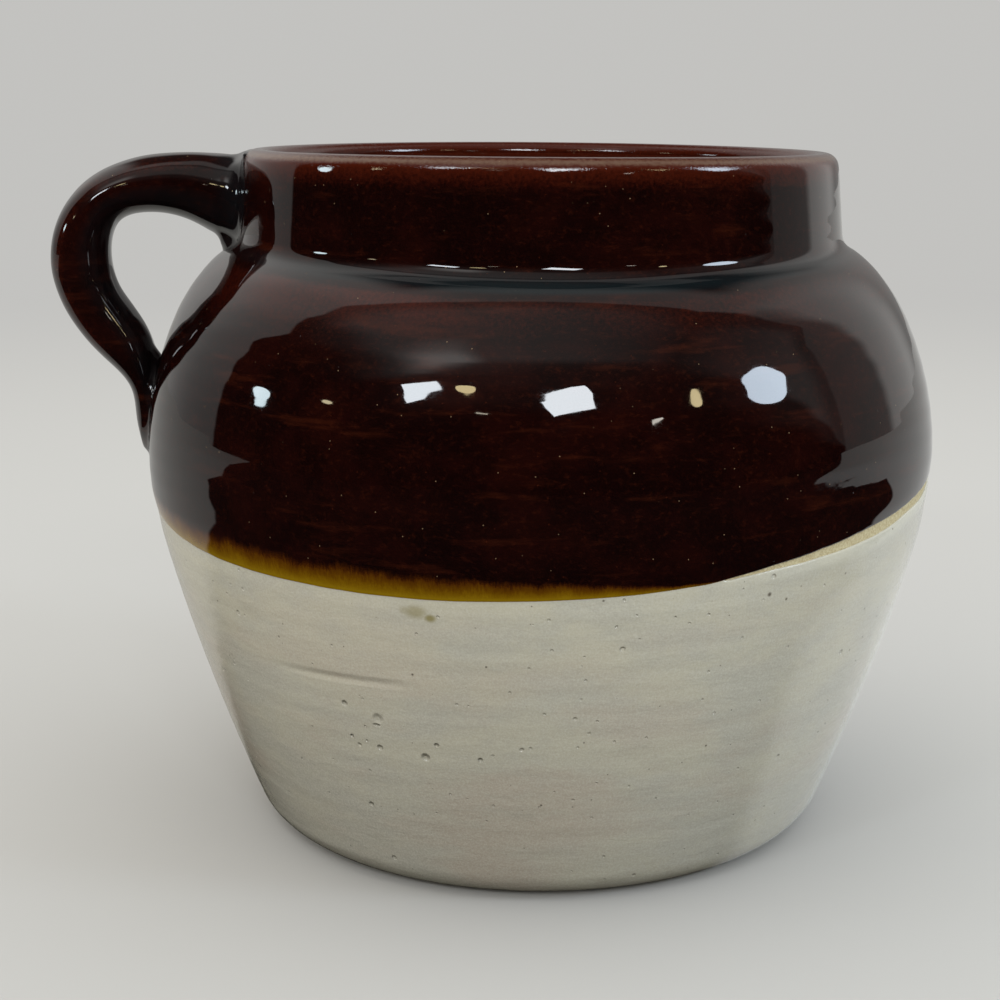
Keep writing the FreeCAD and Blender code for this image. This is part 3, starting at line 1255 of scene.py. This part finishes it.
    def dark_coat(self) -> Piece:
        """Makes the brown glaze from its rolled lower edge up over the lip and into the neck.

        Returns:
            The piece, not yet dressed.
        """
        glaze = self.outlines.glaze
        nominal, crest = glaze.at_height(self.hand.dip_height), glaze.total
        nose, coat = self.dark_nose, self.outlines.shape.coat
        lip_start = glaze.at_height(self.outlines.lip_outer[1]) - 1.0 * MM
        section = Section(glaze)
        turns = np.radians(np.linspace(90, 0, 7))[:-1]
        section.run([nominal], -coat - self.buried)
        section.run(nominal + nose - nose * np.sin(turns), -coat + coat * np.cos(turns))
        section.run(spaced(nominal + nose, nominal + 6 * MM, 0.3 * MM), 0.0)
        section.run(spaced(nominal + 6.6 * MM, lip_start - 0.5 * MM, 1.1 * MM), 0.0)
        section.run(spaced(lip_start, crest, 0.28 * MM), 0.0)
        section.run(spaced(crest, nominal + 1.5 * MM, 3.0 * MM), -coat - self.buried)
        piece, angles, length, proud = section.thrown("dark_glaze_coat", self.steps)
        radius = self.outlines.shape.belly_radius
        bare = self._bare(angles)
        edge = glaze.at_height(self.hand.dip_line(angles, radius))
        edge = edge + bare * (self.bare_band + 0.17 * MM * lumps(ring(angles, radius), 1.9 * MM, seed=7.7))
        share = (length - nominal) / (crest - nominal)
        moving = 1.0 - smooth(share, 0.06, 0.45)
        length = length + moving * (edge - nominal)
        rise = length - edge
        lip = self._lip_share(length)
        outer = proud > -coat - 0.5 * self.buried
        thinned = np.exp(-(np.maximum(rise, 0.0) / (3.0 * MM)) ** 1.2)
        taper = (0.58 * MM - 0.16 * MM * bare) * thinned
        spots = round_the_axis(angles, glaze.place(length))
        fine, coarse = lumps(spots, 2.2 * MM, seed=9.2), lumps(spots, 5.5 * MM, seed=2.9)
        grit = lip * (0.10 * MM * fine + 0.06 * MM * coarse)
        proud = proud - np.where(outer, np.minimum(taper, 0.9 * coat) + np.maximum(grit, 0.0), 0.0)
        place = glaze.place(length, proud)
        on_outside = 1.0 - smooth(length, glaze.total - 6 * MM, glaze.total - 3 * MM)
        place[:, 0] -= on_outside * self._outside_set_in(angles, place[:, 1])
        self._settle(piece, angles, place)
        self._note_dark(piece, angles, rise, place[:, 1], lip)
        return piece

    def _lip_share(self, length: np.ndarray) -> np.ndarray:
        """Finds the outer corner of the lip.

        Args:
            length: Lengths along the dark glaze's outline.

        Returns:
            1 on the corner, falling to 0 below it and over the crest.
        """
        glaze = self.outlines.glaze
        corner = glaze.at_height(self.outlines.shape.height - 1.0 * MM)
        return bell(length, corner, 1.2 * MM)

    def _note_dark(self, piece: Piece, angles: np.ndarray, rise: np.ndarray,
                   height: np.ndarray, lip: np.ndarray) -> None:
        """Notes how thin the glaze is, where the amber band lies and where the glaze pools, partly painted
        shade.

        Args:
            piece: The dark coat.
            angles: Each vertex's direction round the axis, in radians.
            rise: How far it lies above the coat's lower edge.
            height: Its height before the sag.
            lip: How near it is to the lip's corner.
        """
        top = self.outlines.shape.height
        degrees = np.degrees(angles)
        crest = smooth(height, top - 9.5 * MM, top - 2.0 * MM)
        near_crest, on_crest, at_corner = self.lip_thin
        thin = (near_crest * crest + on_crest * smooth(height, top - 2.6 * MM, top - 0.8 * MM)
                + at_corner * lip)
        sag = bell(degrees, self.hand.collar_foot_dip_at, self.pool_width)
        foot = self.outlines.hollow[1] - self.outlines.shape.collar_fillet - self.hand.collar_foot_dip * sag
        spots = lumps(Workbench.vertices(piece), 9 * MM, seed=8.6)
        shoulder = plateau(height, 120 * MM, 139 * MM, foot - 1.0 * MM, foot + 0.4 * MM)
        side = plateau(-degrees, 95.0, 120.0, 138.0, 160.0)
        thin = np.clip(thin + (0.26 + 0.12 * side + 0.10 * spots) * shoulder, 0.0, 1.1)
        # pooled glaze in the collar's hollow curve, strongest at the front: a teal of thick glaze, partly
        # painted shade in the crease
        pool = sag * smooth(height, foot + 0.4 * MM, foot + 1.1 * MM)
        pool *= 1 - smooth(height, foot + 2.2 * MM, foot + 4.2 * MM)
        turns, heights = zip(*self.amber_band)
        width = np.maximum(np.interp(degrees, turns, heights), 0.02) * MM
        Workbench.note(piece, thin=thin, band=np.clip(rise / width, 0.0, NO_BAND), pool=0.9 * pool)

    def inside_coat(self) -> Piece:
        """Makes the brown glaze inside, from the neck to the middle of the floor.

        Returns:
            The piece, not yet dressed.
        """
        inside = self.outlines.inside
        section = Section(inside)
        section.run(spaced(0.0, inside.total, 1.9 * MM), 0.0)
        section.run(spaced(inside.total, 0.0, 5.0 * MM), -0.3 * MM)
        piece, angles, length, proud = section.thrown("inside_glaze_coat", self.clay_steps)
        place = inside.place(length, proud)
        clear = plateau(length, 1 * MM, 8 * MM, inside.total - 60 * MM, inside.total - 40 * MM)
        rings = np.where(proud > -0.2 * MM, self.hand.inside_rings(angles, place[:, 1]), 0.0)
        place[:, 0] += clear * rings
        self._settle(piece, angles, place)
        thin = self.lip_thin[0] * (1 - smooth(length, 0.0, 9 * MM)) + self.wall_thin
        Workbench.note(piece, thin=thin, band=NO_BAND, pool=0.0)
        return piece


@dataclass(frozen=True)
class Station:
    """An oval across the strap: the reach and height of its centre, and its half sizes, in millimetres."""

    reach: float
    height: float
    thick: float
    wide: float


@dataclass
class PulledHandle:
    """The strap handle, smeared on to the collar and the belly where it joins them."""

    outlines: PotOutlines
    stations: tuple[Station, ...] = (
        Station(66.2, 151.0, 10.9, 13.4),
        Station(70.6, 151.1, 10.4, 12.8),
        Station(77.6, 153.0, 9.0, 10.9),
        Station(91.0, 154.7, 6.9, 10.0),
        Station(104.2, 150.1, 6.1, 9.8),
        Station(109.3, 138.5, 7.1, 9.5),
        Station(106.6, 126.8, 7.0, 9.2),
        Station(99.0, 115.7, 6.0, 8.9),
        Station(95.5, 107.0, 3.6, 8.6),
        Station(94.9, 98.5, 3.1, 7.6),
        Station(94.9, 91.0, 1.7, 4.6),
    )
    sections: int = 84
    corners: int = 28
    smear: float = 4.2 * MM                # hollow curve where the strap joins the pot
    tail_smear: float = 1.8 * MM
    top_clearance: float = 0.35 * MM
    root_fade: Point2 = (66.4 * MM, 68.4 * MM)     # the root's end inside the wall is not spread
    tail_heights: Point2 = (108 * MM, 132 * MM)    # over these the tail's curve goes over into the root's
    joint_heights: Point2 = (118 * MM, 134 * MM)   # over these the strap gets lumpy towards the collar
    ridge_turn: float = 42.0                       # degrees from the strap's outward side to its thin edge
    ridge_width: float = 20.0

    def build(self, material: Material) -> Piece:
        """Makes the handle and dresses it.

        Args:
            material: The brown glaze.

        Returns:
            The handle.
        """
        piece = self._strap()
        self._smear_on(piece)
        dress(piece, material, Slot.DARK, "handle")
        return piece

    def _path(self) -> np.ndarray:
        """Sets sections close together along the strap.

        Returns:
            Reach, height and half sizes of each section.
        """
        table = np.array([(s.reach, s.height, s.thick, s.wide) for s in self.stations]) * MM
        knots = np.concatenate([[0], np.cumsum(np.hypot(*np.diff(table[:, :2], axis=0).T))])
        return natural_spline(knots, table, np.linspace(0, knots[-1], self.sections))

    def _strap(self) -> Piece:
        """Sets rings of vertices along the strap, and bridges, caps and smooths them.

        Returns:
            The strap as it was pulled.
        """
        path = self._path()
        along = np.gradient(path[:, :2], axis=0)
        Workbench.clear_selection()
        bpy.ops.mesh.primitive_circle_add(vertices=self.corners, radius=1.0, location=(0, 0, 0))
        piece = bpy.context.object
        piece.name = piece.data.name = "pulled_handle"
        bpy.ops.object.mode_set(mode="EDIT")
        for index, (reach, height, thick, wide) in enumerate(path):
            if index:
                bpy.ops.mesh.primitive_circle_add(vertices=self.corners, radius=1.0, location=(0, 0, 0))
            bpy.ops.transform.resize(value=(thick, wide, 1.0), center_override=(0, 0, 0))
            tilt = math.atan2(-along[index, 0], along[index, 1])
            bpy.ops.transform.rotate(value=-tilt, orient_axis="Y", center_override=(0, 0, 0))
            bpy.ops.transform.translate(value=(-reach, 0, height))
            Workbench.select("DESELECT")
        Workbench.select()
        bpy.ops.mesh.bridge_edge_loops()
        Workbench.select("DESELECT")
        bpy.ops.mesh.select_non_manifold()
        bpy.ops.mesh.edge_face_add()
        Workbench.select()
        bpy.ops.mesh.normals_make_consistent(inside=False)
        bpy.ops.object.mode_set(mode="OBJECT")
        smoother = piece.modifiers.new("smooth", "SUBSURF")
        smoother.levels = smoother.render_levels = 2
        bpy.ops.object.modifier_apply(modifier=smoother.name)
        return piece

    def _smear_on(self, piece: Piece) -> None:
        """Spreads the strap where it meets the pot, so that it runs out into the surface.

        Args:
            piece: The strap.
        """
        glaze = self.outlines.glaze
        places = Workbench.vertices(piece)
        count = len(places)
        normals = np.zeros(count * 3)
        piece.data.vertices.foreach_get("normal", normals)
        normals = normals.reshape(-1, 3)
        _, radius = from_the_axis(places)
        marks_at = spaced(0.0, glaze.total, 0.3 * MM)
        marks = glaze.place(marks_at)
        found = Workbench.nearest(np.stack([radius, places[:, 2]], 1), marks)
        out = glaze.place(marks_at, 1.0) - marks
        gap = radius - marks[found, 0], places[:, 2] - marks[found, 1]
        distance = gap[0] * out[found, 0] + gap[1] * out[found, 1]
        pot_normal = np.stack([out[found, 0] * places[:, 0] / radius, out[found, 0] * places[:, 1] / radius,
                               out[found, 1]], 1)
        sideways = normals - (normals * pot_normal).sum(1)[:, None] * pot_normal
        size = np.linalg.norm(sideways, axis=1)
        sideways /= np.maximum(size, 0.25)[:, None]
        curve = self.tail_smear + (self.smear - self.tail_smear) * smooth(places[:, 2], *self.tail_heights)
        curve = curve * (1.0 + 0.40 * lumps(places, 8 * MM, seed=6.1))
        turn = 0.5 * np.pi * np.clip(distance / curve, 0.0, 1.0)
        spread = curve * (1.0 - np.sin(turn)) * smooth(radius, *self.root_fade)
        lowered = curve * (1.0 - np.cos(turn)) - distance
        lowered = np.where((distance > 0.0) & (distance < curve), lowered, 0.0)
        by_joint = smooth(places[:, 2], *self.joint_heights) * bell(distance, 0.0, 9 * MM)
        uneven = lumps(places, 6 * MM, seed=2.3) * (0.05 + 0.27 * by_joint) * MM
        moved = places + sideways * spread[:, None] + pot_normal * lowered[:, None]
        moved = moved + normals * uneven[:, None]
        top, soft = self.outlines.shape.height - self.top_clearance, 0.5 * MM
        moved[:, 2] = top - soft * np.logaddexp(0.0, (top - moved[:, 2]) / soft)
        Workbench.put_back(piece, moved)
        self._note_glaze(piece, places, normals, distance)

    def _note_glaze(self, piece: Piece, places: np.ndarray, normals: np.ndarray,
                    distance: np.ndarray) -> None:
        """Notes where the glaze breaks thin along the strap's edges, where it pools at the joint and where
        shade is painted on the loop's inner side.

        Args:
            piece: The handle.
            places: Its vertices before they were spread.
            normals: Their normals then.
            distance: How far each lies from the pot.
        """
        path = self._path()
        along = np.gradient(path[:, :2], axis=0)
        along /= np.linalg.norm(along, axis=1)[:, None]
        found = Workbench.nearest(np.stack([-places[:, 0], places[:, 2]], 1), path[:, :2])
        outward = normals[:, 0] * along[found, 1] + normals[:, 2] * along[found, 0]
        turn = np.degrees(np.arccos(np.clip(outward, -1.0, 1.0)))
        free = smooth(distance, 4 * MM, 16 * MM)
        ridge = bell(turn, self.ridge_turn, self.ridge_width)
        spots = lumps(places, 7 * MM, seed=4.9)
        thin = 0.04 + free * (0.20 + 0.10 * spots) * ridge
        # painted shade: darker teal in the joint's crease, where the glaze also pools, and on the loop's
        # inner side, which lies in shade
        joint = (1.0 - smooth(distance, 1.5 * MM, 8.0 * MM)) * smooth(places[:, 2], 122 * MM, 134 * MM)
        inner = smooth(turn, 84.0, 118.0)
        Workbench.note(piece, thin=thin, band=NO_BAND, pool=np.maximum(0.45 * joint, 0.30 * inner))


def dress(piece: Piece, material: Material, slot: Slot, node: str | None) -> None:
    """Gives a finished piece smooth shading, its material and its body, and hides the solid that it stands
    for.

    Args:
        piece: The piece, with its place in its mesh.
        material: Its only material.
        slot: Not used.
        node: The solid that it replaces, or None.
    """
    Workbench.clear_selection()
    piece.select_set(True)
    bpy.context.view_layer.objects.active = piece
    bpy.ops.object.shade_smooth_by_angle(angle=math.radians(40))
    piece.data.materials.clear()
    piece.data.materials.append(material)
    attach(piece, "root")
    if node:
        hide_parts(node)
    log.info("%s: %d vertices, stands for %s", piece.name, len(piece.data.vertices), node or "no solid")


# ---------------------------------------------------------------- studio


class LampShape(Enum):
    """Shapes of a lamp's face."""

    OVAL = "ELLIPSE"
    PANEL = "RECTANGLE"


@dataclass(frozen=True)
class Lamp:
    """A lamp seen from the pot: where it stands, how large it is and how bright its face is.

    Angles are in degrees and lengths in metres.
    """

    name: str
    azimuth: float
    elevation: float
    distance: float
    width: float
    height: float
    radiance: float
    tint: Colour = (1.0, 1.0, 1.0)
    shape: LampShape = LampShape.PANEL
    turn: float = 0.0


@dataclass
class Studio:
    """Pale floor, plain surroundings, soft lamps and the camera."""

    floor_size: float = 12.0
    floor_colour: Colour = (0.405, 0.399, 0.385)
    bounce_near_shadowed: Colour = (0.16, 0.152, 0.136)     # what the floor gives back to the pot close by: painted shadow, darker for bounce light only
    bounce_far: Colour = (0.47, 0.455, 0.42)
    glossy_left_near: Colour = (0.34, 0.333, 0.315)     # the floor as the glaze mirrors it
    glossy_left_far: Colour = (0.28, 0.275, 0.265)
    glossy_right_near: Colour = (0.55, 0.553, 0.548)
    glossy_right_far: Colour = (0.40, 0.397, 0.39)
    surround: Colour = (0.545, 0.541, 0.525)
    fill_from_left: Colour = (1.0, 0.962, 0.905)
    fill_from_right: Colour = (0.935, 0.975, 0.995)
    fill_strength: float = 0.78
    fill_above: float = 0.72
    fill_beside: tuple[float, float] = (0.52, 0.50)    # more of it from the left and from the right
    mirrored: Colour = (1.0, 0.985, 0.955)         # colour of what the glaze mirrors
    cloth_right: float = 0.82
    cloth_dim: float = 0.27
    ceiling: float = 0.44
    ceiling_glow: float = 1.3
    room_dark: float = 0.008
    floor_roughness: float = 0.9
    glossy_blend: Point2 = (0.0, -0.06)            # x over which the mirrored right goes over into the left
    floor_edge_blend: Point2 = (0.004, -0.006)
    cloth_edge_blend: Point2 = (-0.010, 0.010)
    # the fold in the cloth on the right: where it crosses, how it slopes, and where the cloth gets light
    fold_place: Point2 = (0.75, 0.2)
    fold_slope: float = 1.25
    fold_blend: Point2 = (-0.07, 0.06)
    cloth_right_from: Point2 = (0.55, 0.72)
    cloth_lift: tuple[float, ...] = (0.0, 0.5, 0.60, 1.0)    # it is dimmer low down
    # the ceiling gets light in two steps: turns over the pot in degrees, and each step's share
    ceiling_steps: tuple[tuple[float, float, float], ...] = ((43.0, 53.0, 0.80), (22.0, 40.0, 0.20))
    ceiling_by_cloth: Point2 = (-0.16, -0.03)      # it is dimmer close to the cloth's edge, by this share
    ceiling_by_cloth_dim: float = 0.50
    bounce_reach: Point2 = (0.06, 0.40)            # distances over which near goes over into far, in metres
    glossy_reach: Point2 = (0.14, 0.36)
    floor_fade: Point2 = (0.35, 1.3)
    # a dark gap in the cloth and a glow on the ceiling: where each rises, is full, fades and ends,
    # in degrees over the pot and by the sideways part of a direction
    gap_over: tuple[float, ...] = (100.0, 108.0, 138.0, 152.0)
    gap_side: tuple[float, ...] = (-0.40, -0.26, 0.44, 0.56)
    gap_depth: float = 0.94
    glow_over: tuple[float, ...] = (46.5, 50.5, 54.0, 70.0)
    glow_side: tuple[float, ...] = (-0.64, -0.46, -0.39, -0.25)
    # the line on the floor in front of which the glaze mirrors no bright floor: x and y in metres
    floor_edge: tuple[Point2, ...] = (
        (-0.66, 0.18), (-0.36, 0.05), (-0.12, 0.045), (0.04, -0.055), (0.14, -0.065), (0.42, 0.10),
        (0.70, 0.15), (0.95, -0.30),
    )
    # how bright the cloth is, by the sideways part of a direction
    cloth_level: tuple[Point2, ...] = (
        (-1.0, 0.60), (-0.90, 0.54), (-0.80, 0.56), (-0.65, 0.72), (-0.50, 0.84), (-0.35, 0.76),
        (-0.15, 0.58), (0.10, 0.50), (0.35, 0.46), (0.55, 0.50),
    )
    # the cloth's edge: sideways part of a direction, and the backward part at which the cloth starts
    cloth_edge: tuple[Point2, ...] = (
        (-0.93, 0.33), (-0.88, 0.275), (-0.80, 0.145), (-0.70, 0.170), (-0.62, 0.135), (-0.50, 0.080),
        (-0.30, 0.030), (-0.10, 0.005), (0.10, -0.012), (0.30, -0.030), (0.50, -0.048), (0.70, 0.080),
        (0.80, 0.130), (0.87, 0.020), (0.96, -0.010),
    )
    # how strongly the ceiling shows in front, by the sideways part of a direction
    ceiling_share: tuple[Point2, ...] = (
        (-0.88, 0.0), (-0.80, 0.04), (-0.70, 0.26), (-0.60, 0.85), (-0.45, 1.0), (-0.15, 0.92),
        (0.10, 0.74), (0.30, 0.50), (0.50, 0.18), (0.72, 0.42), (0.92, 0.70),
    )
    aim: tuple[float, float, float] = (0.0, 0.0, 0.11)
    lamps: tuple[Lamp, ...] = (
        Lamp("round_lamp", -25.5, 23.9, 1.5, 0.372, 0.350, 15.0, (0.74, 0.86, 1.0), LampShape.OVAL),
        Lamp("left_panel", -129.9, 28.7, 1.7, 0.302, 0.150, 20.0, (0.88, 0.94, 1.0), turn=30.0),
        Lamp("middle_panel", -86.2, 27.9, 1.7, 0.36, 0.22, 20.0, (0.90, 0.95, 1.0), turn=22.0),
        Lamp("left_bulb", -116.6, 30.0, 1.6, 0.145, 0.075, 13.0, (1.0, 0.82, 0.44), LampShape.OVAL),
        Lamp("far_left_bulb", -157.3, 18.6, 1.6, 0.09, 0.045, 11.0, (1.0, 0.86, 0.55), LampShape.OVAL),
        Lamp("right_bulb", -49.2, 24.1, 1.6, 0.080, 0.105, 13.0, (1.0, 0.82, 0.46), LampShape.OVAL),
        Lamp("far_left_lamp", 179.1, 13.8, 1.6, 0.19, 0.11, 15.0, (0.78, 0.94, 1.0), LampShape.OVAL),
        Lamp("ceiling_spot", -62.0, 18.8, 1.6, 0.085, 0.022, 12.0, (1.0, 0.95, 0.85), turn=14.0),
        Lamp("ceiling_strip", -111.0, 22.4, 1.6, 0.09, 0.014, 10.0, (1.0, 0.92, 0.74), turn=-8.0),
    )
    camera_place: tuple[float, float, float] = (-0.0383, -0.4381, 0.1740)
    camera_forward: tuple[float, float, float] = (0.0633, 0.9712, -0.2297)
    camera_roll: float = -0.0028
    lens: float = 64.98
    shift_up: float = 0.0241

    def build(self) -> None:
        """Makes the floor, the world, the lamps and the camera."""
        self._floor()
        self._world()
        for lamp in self.lamps:
            self._lamp(lamp)
        self._camera()
        bpy.context.scene.view_settings.view_transform = "Standard"

    @staticmethod
    def _by_side(sideways: Wire, stops: Sequence[Point2]) -> Wire:
        """A number that follows some stops, as the sideways part of a direction goes from -1 to 1."""
        grey = [(0.5 * (side + 1.0), (0.5 + 0.5 * value,) * 3) for side, value in stops]
        return (sideways.graph.ramp((sideways + 1.0) * 0.5, grey) - 0.5) * 2.0

    def _floor(self) -> None:
        """A large pale floor. Far off it has the surroundings' colour, so that no horizon shows."""
        Workbench.clear_selection()
        bpy.ops.mesh.primitive_plane_add(size=self.floor_size, location=(0, 0, 0))
        floor = bpy.context.object
        floor.name = "floor"
        graph = Graph.of_material("plain_floor")
        by_camera = graph.node("LightPath", "Is Camera Ray")
        side, back, _ = graph.split(graph.place)
        away = graph.length(graph.place)
        distant = graph.graded(away, *self.glossy_reach)
        glossy = graph.mixed(
            graph.graded(side, *self.glossy_blend),
            graph.mixed(distant, self.glossy_right_near, self.glossy_right_far),
            graph.mixed(distant, self.glossy_left_near, self.glossy_left_far),
        )
        past_edge = back - self._by_side(side, self.floor_edge)
        glossy = graph.mixed(graph.graded(past_edge, *self.floor_edge_blend), glossy, (self.room_dark,) * 3)
        # painted shadow: near the pot the floor gives back less bounce light, as though in the pot's shadow
        bounce = graph.mixed(graph.graded(away, *self.bounce_reach), self.bounce_near_shadowed, self.bounce_far)
        colour = graph.layered(self.floor_colour, (by_camera.also("Is Diffuse Ray"), bounce),
                               (by_camera.also("Is Glossy Ray"), glossy))
        inputs = {"Base Color": colour, "Roughness": self.floor_roughness, "Specular IOR Level": 0.0}
        graph.feed(graph.shader, inputs)
        shaded = Wire(graph, graph.shader.outputs["BSDF"])
        glow = graph.node("Emission", "Emission", {"Color": self.surround})
        surface = graph.chosen(graph.graded(away, *self.floor_fade) * by_camera, shaded, glow)
        graph.feed(graph.tree.nodes["Material Output"], {"Surface": surface})
        floor.data.materials.append(graph.owner)

    def _world(self) -> None:
        """Soft light from all round, and what the glaze mirrors: pale cloth behind, a dim room in front."""
        world = bpy.data.worlds.new("studio")
        bpy.context.scene.world = world
        graph = Graph(world)

        def background(colour: Colour, strength: Wire | float) -> Wire:
            """A background shader of one colour."""
            return graph.node("Background", "Background", {"Color": colour, "Strength": strength})

        by_camera = graph.node("LightPath", "Is Camera Ray")
        side, _, up = graph.split(graph.direction)
        beside_left, beside_right = self.fill_beside
        strength = (graph.graded(up, 0.0, 0.9, 0.0, self.fill_above) + self.fill_strength
                    + graph.graded(side, 0.0, 1.0, 0.0, beside_right)
                    + graph.graded(side, 0.0, -1.0, 0.0, beside_left))
        fill = graph.chosen(graph.graded(side, -0.7, 0.7), background(self.fill_from_left, strength),
                            background(self.fill_from_right, strength))
        mirrored = background(self.mirrored, self._mirrored(graph))
        light = graph.chosen(by_camera.also("Is Glossy Ray"), fill, mirrored)
        light = graph.chosen(by_camera, light, background(self.surround, 1.0))
        graph.feed(graph.tree.nodes["World Output"], {"Surface": light})

    def _mirrored(self, graph: Graph) -> Wire:
        """Works out how bright the surroundings are that the glaze mirrors.

        Args:
            graph: The world's nodes.

        Returns:
            The strength of the mirrored background.
        """
        side, back, up = graph.split(graph.direction)
        over = graph.math("ARCTAN2", up, back * -1.0)       # turn over the pot from the front's horizon

        def turned_over(*degrees: float) -> Wire:
            """Rises between the first two turns, and falls again between the last two, if given."""
            turns = [math.radians(turn) for turn in degrees]
            return graph.between(over, *turns) if len(turns) > 2 else graph.graded(over, *turns)

        past_edge = back - self._by_side(side, self.cloth_edge)
        cloth = graph.graded(past_edge, *self.cloth_edge_blend)
        fold_side, fold_back = self.fold_place
        fold = back - ((side - fold_side) * self.fold_slope + fold_back)
        right = graph.graded(fold, *self.fold_blend, self.cloth_dim, self.cloth_right)
        right_share = graph.graded(side, *self.cloth_right_from)
        left = self._by_side(side, self.cloth_level) * graph.graded(up, *self.cloth_lift)
        level = left * (1.0 - right_share) + right * right_share
        gap = turned_over(*self.gap_over) * graph.between(side, *self.gap_side)
        level = level * (1.0 - gap * self.gap_depth)
        upper, lower = (turned_over(low, high) * share for low, high, share in self.ceiling_steps)
        ceiling = (upper + lower) * self.ceiling * self._by_side(side, self.ceiling_share)
        dimmed = graph.graded(past_edge, *self.ceiling_by_cloth) * self.ceiling_by_cloth_dim
        ceiling = ceiling * (1.0 - dimmed)
        glow = turned_over(*self.glow_over) * graph.between(side, *self.glow_side)
        ceiling = ceiling + glow * self.ceiling_glow
        return level * cloth + ceiling * (1.0 - cloth) + self.room_dark

    def _lamp(self, lamp: Lamp) -> None:
        """Hangs a lamp in its direction, facing the pot.

        Args:
            lamp: The lamp.
        """
        azimuth, elevation = math.radians(lamp.azimuth), math.radians(lamp.elevation)
        direction = Vector((math.cos(azimuth) * math.cos(elevation), math.sin(azimuth) * math.cos(elevation),
                            math.sin(elevation)))
        data = bpy.data.lights.new(lamp.name, "AREA")
        data.shape = lamp.shape.value
        data.size, data.size_y = lamp.width, lamp.height
        rounded = lamp.shape is not LampShape.PANEL
        area = lamp.width * lamp.height * (math.pi / 4 if rounded else 1.0)
        data.energy = lamp.radiance * area * math.pi
        data.color = lamp.tint
        made = bpy.data.objects.new(lamp.name, data)
        bpy.context.scene.collection.objects.link(made)
        facing = direction.to_track_quat("Z", "Y").to_matrix().to_4x4()
        turned = Matrix.Rotation(math.radians(lamp.turn), 4, "Z")
        made.matrix_world = Matrix.Translation(Vector(self.aim) + direction * lamp.distance) @ facing @ turned
        made.visible_camera = False

    def _camera(self) -> None:
        """The camera at its place, with its small roll and shift."""
        data = bpy.data.cameras.new("camera")
        data.sensor_width, data.lens, data.shift_y = 36.0, self.lens, self.shift_up
        data.clip_start = 0.01
        camera = bpy.data.objects.new("camera", data)
        bpy.context.scene.collection.objects.link(camera)
        forward = Vector(self.camera_forward).normalized()
        right = forward.cross(Vector((0, 0, 1))).normalized()
        up = right.cross(forward)
        turned = Matrix.Rotation(self.camera_roll, 3, "Z")
        facing = Matrix((right, up, -forward)).transposed() @ turned
        camera.matrix_world = Matrix.Translation(Vector(self.camera_place)) @ facing.to_4x4()
        bpy.context.scene.camera = camera


def main() -> None:
    """Builds the pot in the order in which it was made, then the studio round it."""
    outlines = PotOutlines(PotShape())
    dark, pale, clay = DarkGlaze().material(), PaleGlaze().material(outlines), DryClay().material()
    ThrownPot(outlines, PottersHand()).build(dark, pale, clay)
    PulledHandle(outlines).build(DarkGlaze("handle_brown_glaze", roughness=0.05).material())
    Studio().build()


if __name__ == "__main__":
    main()
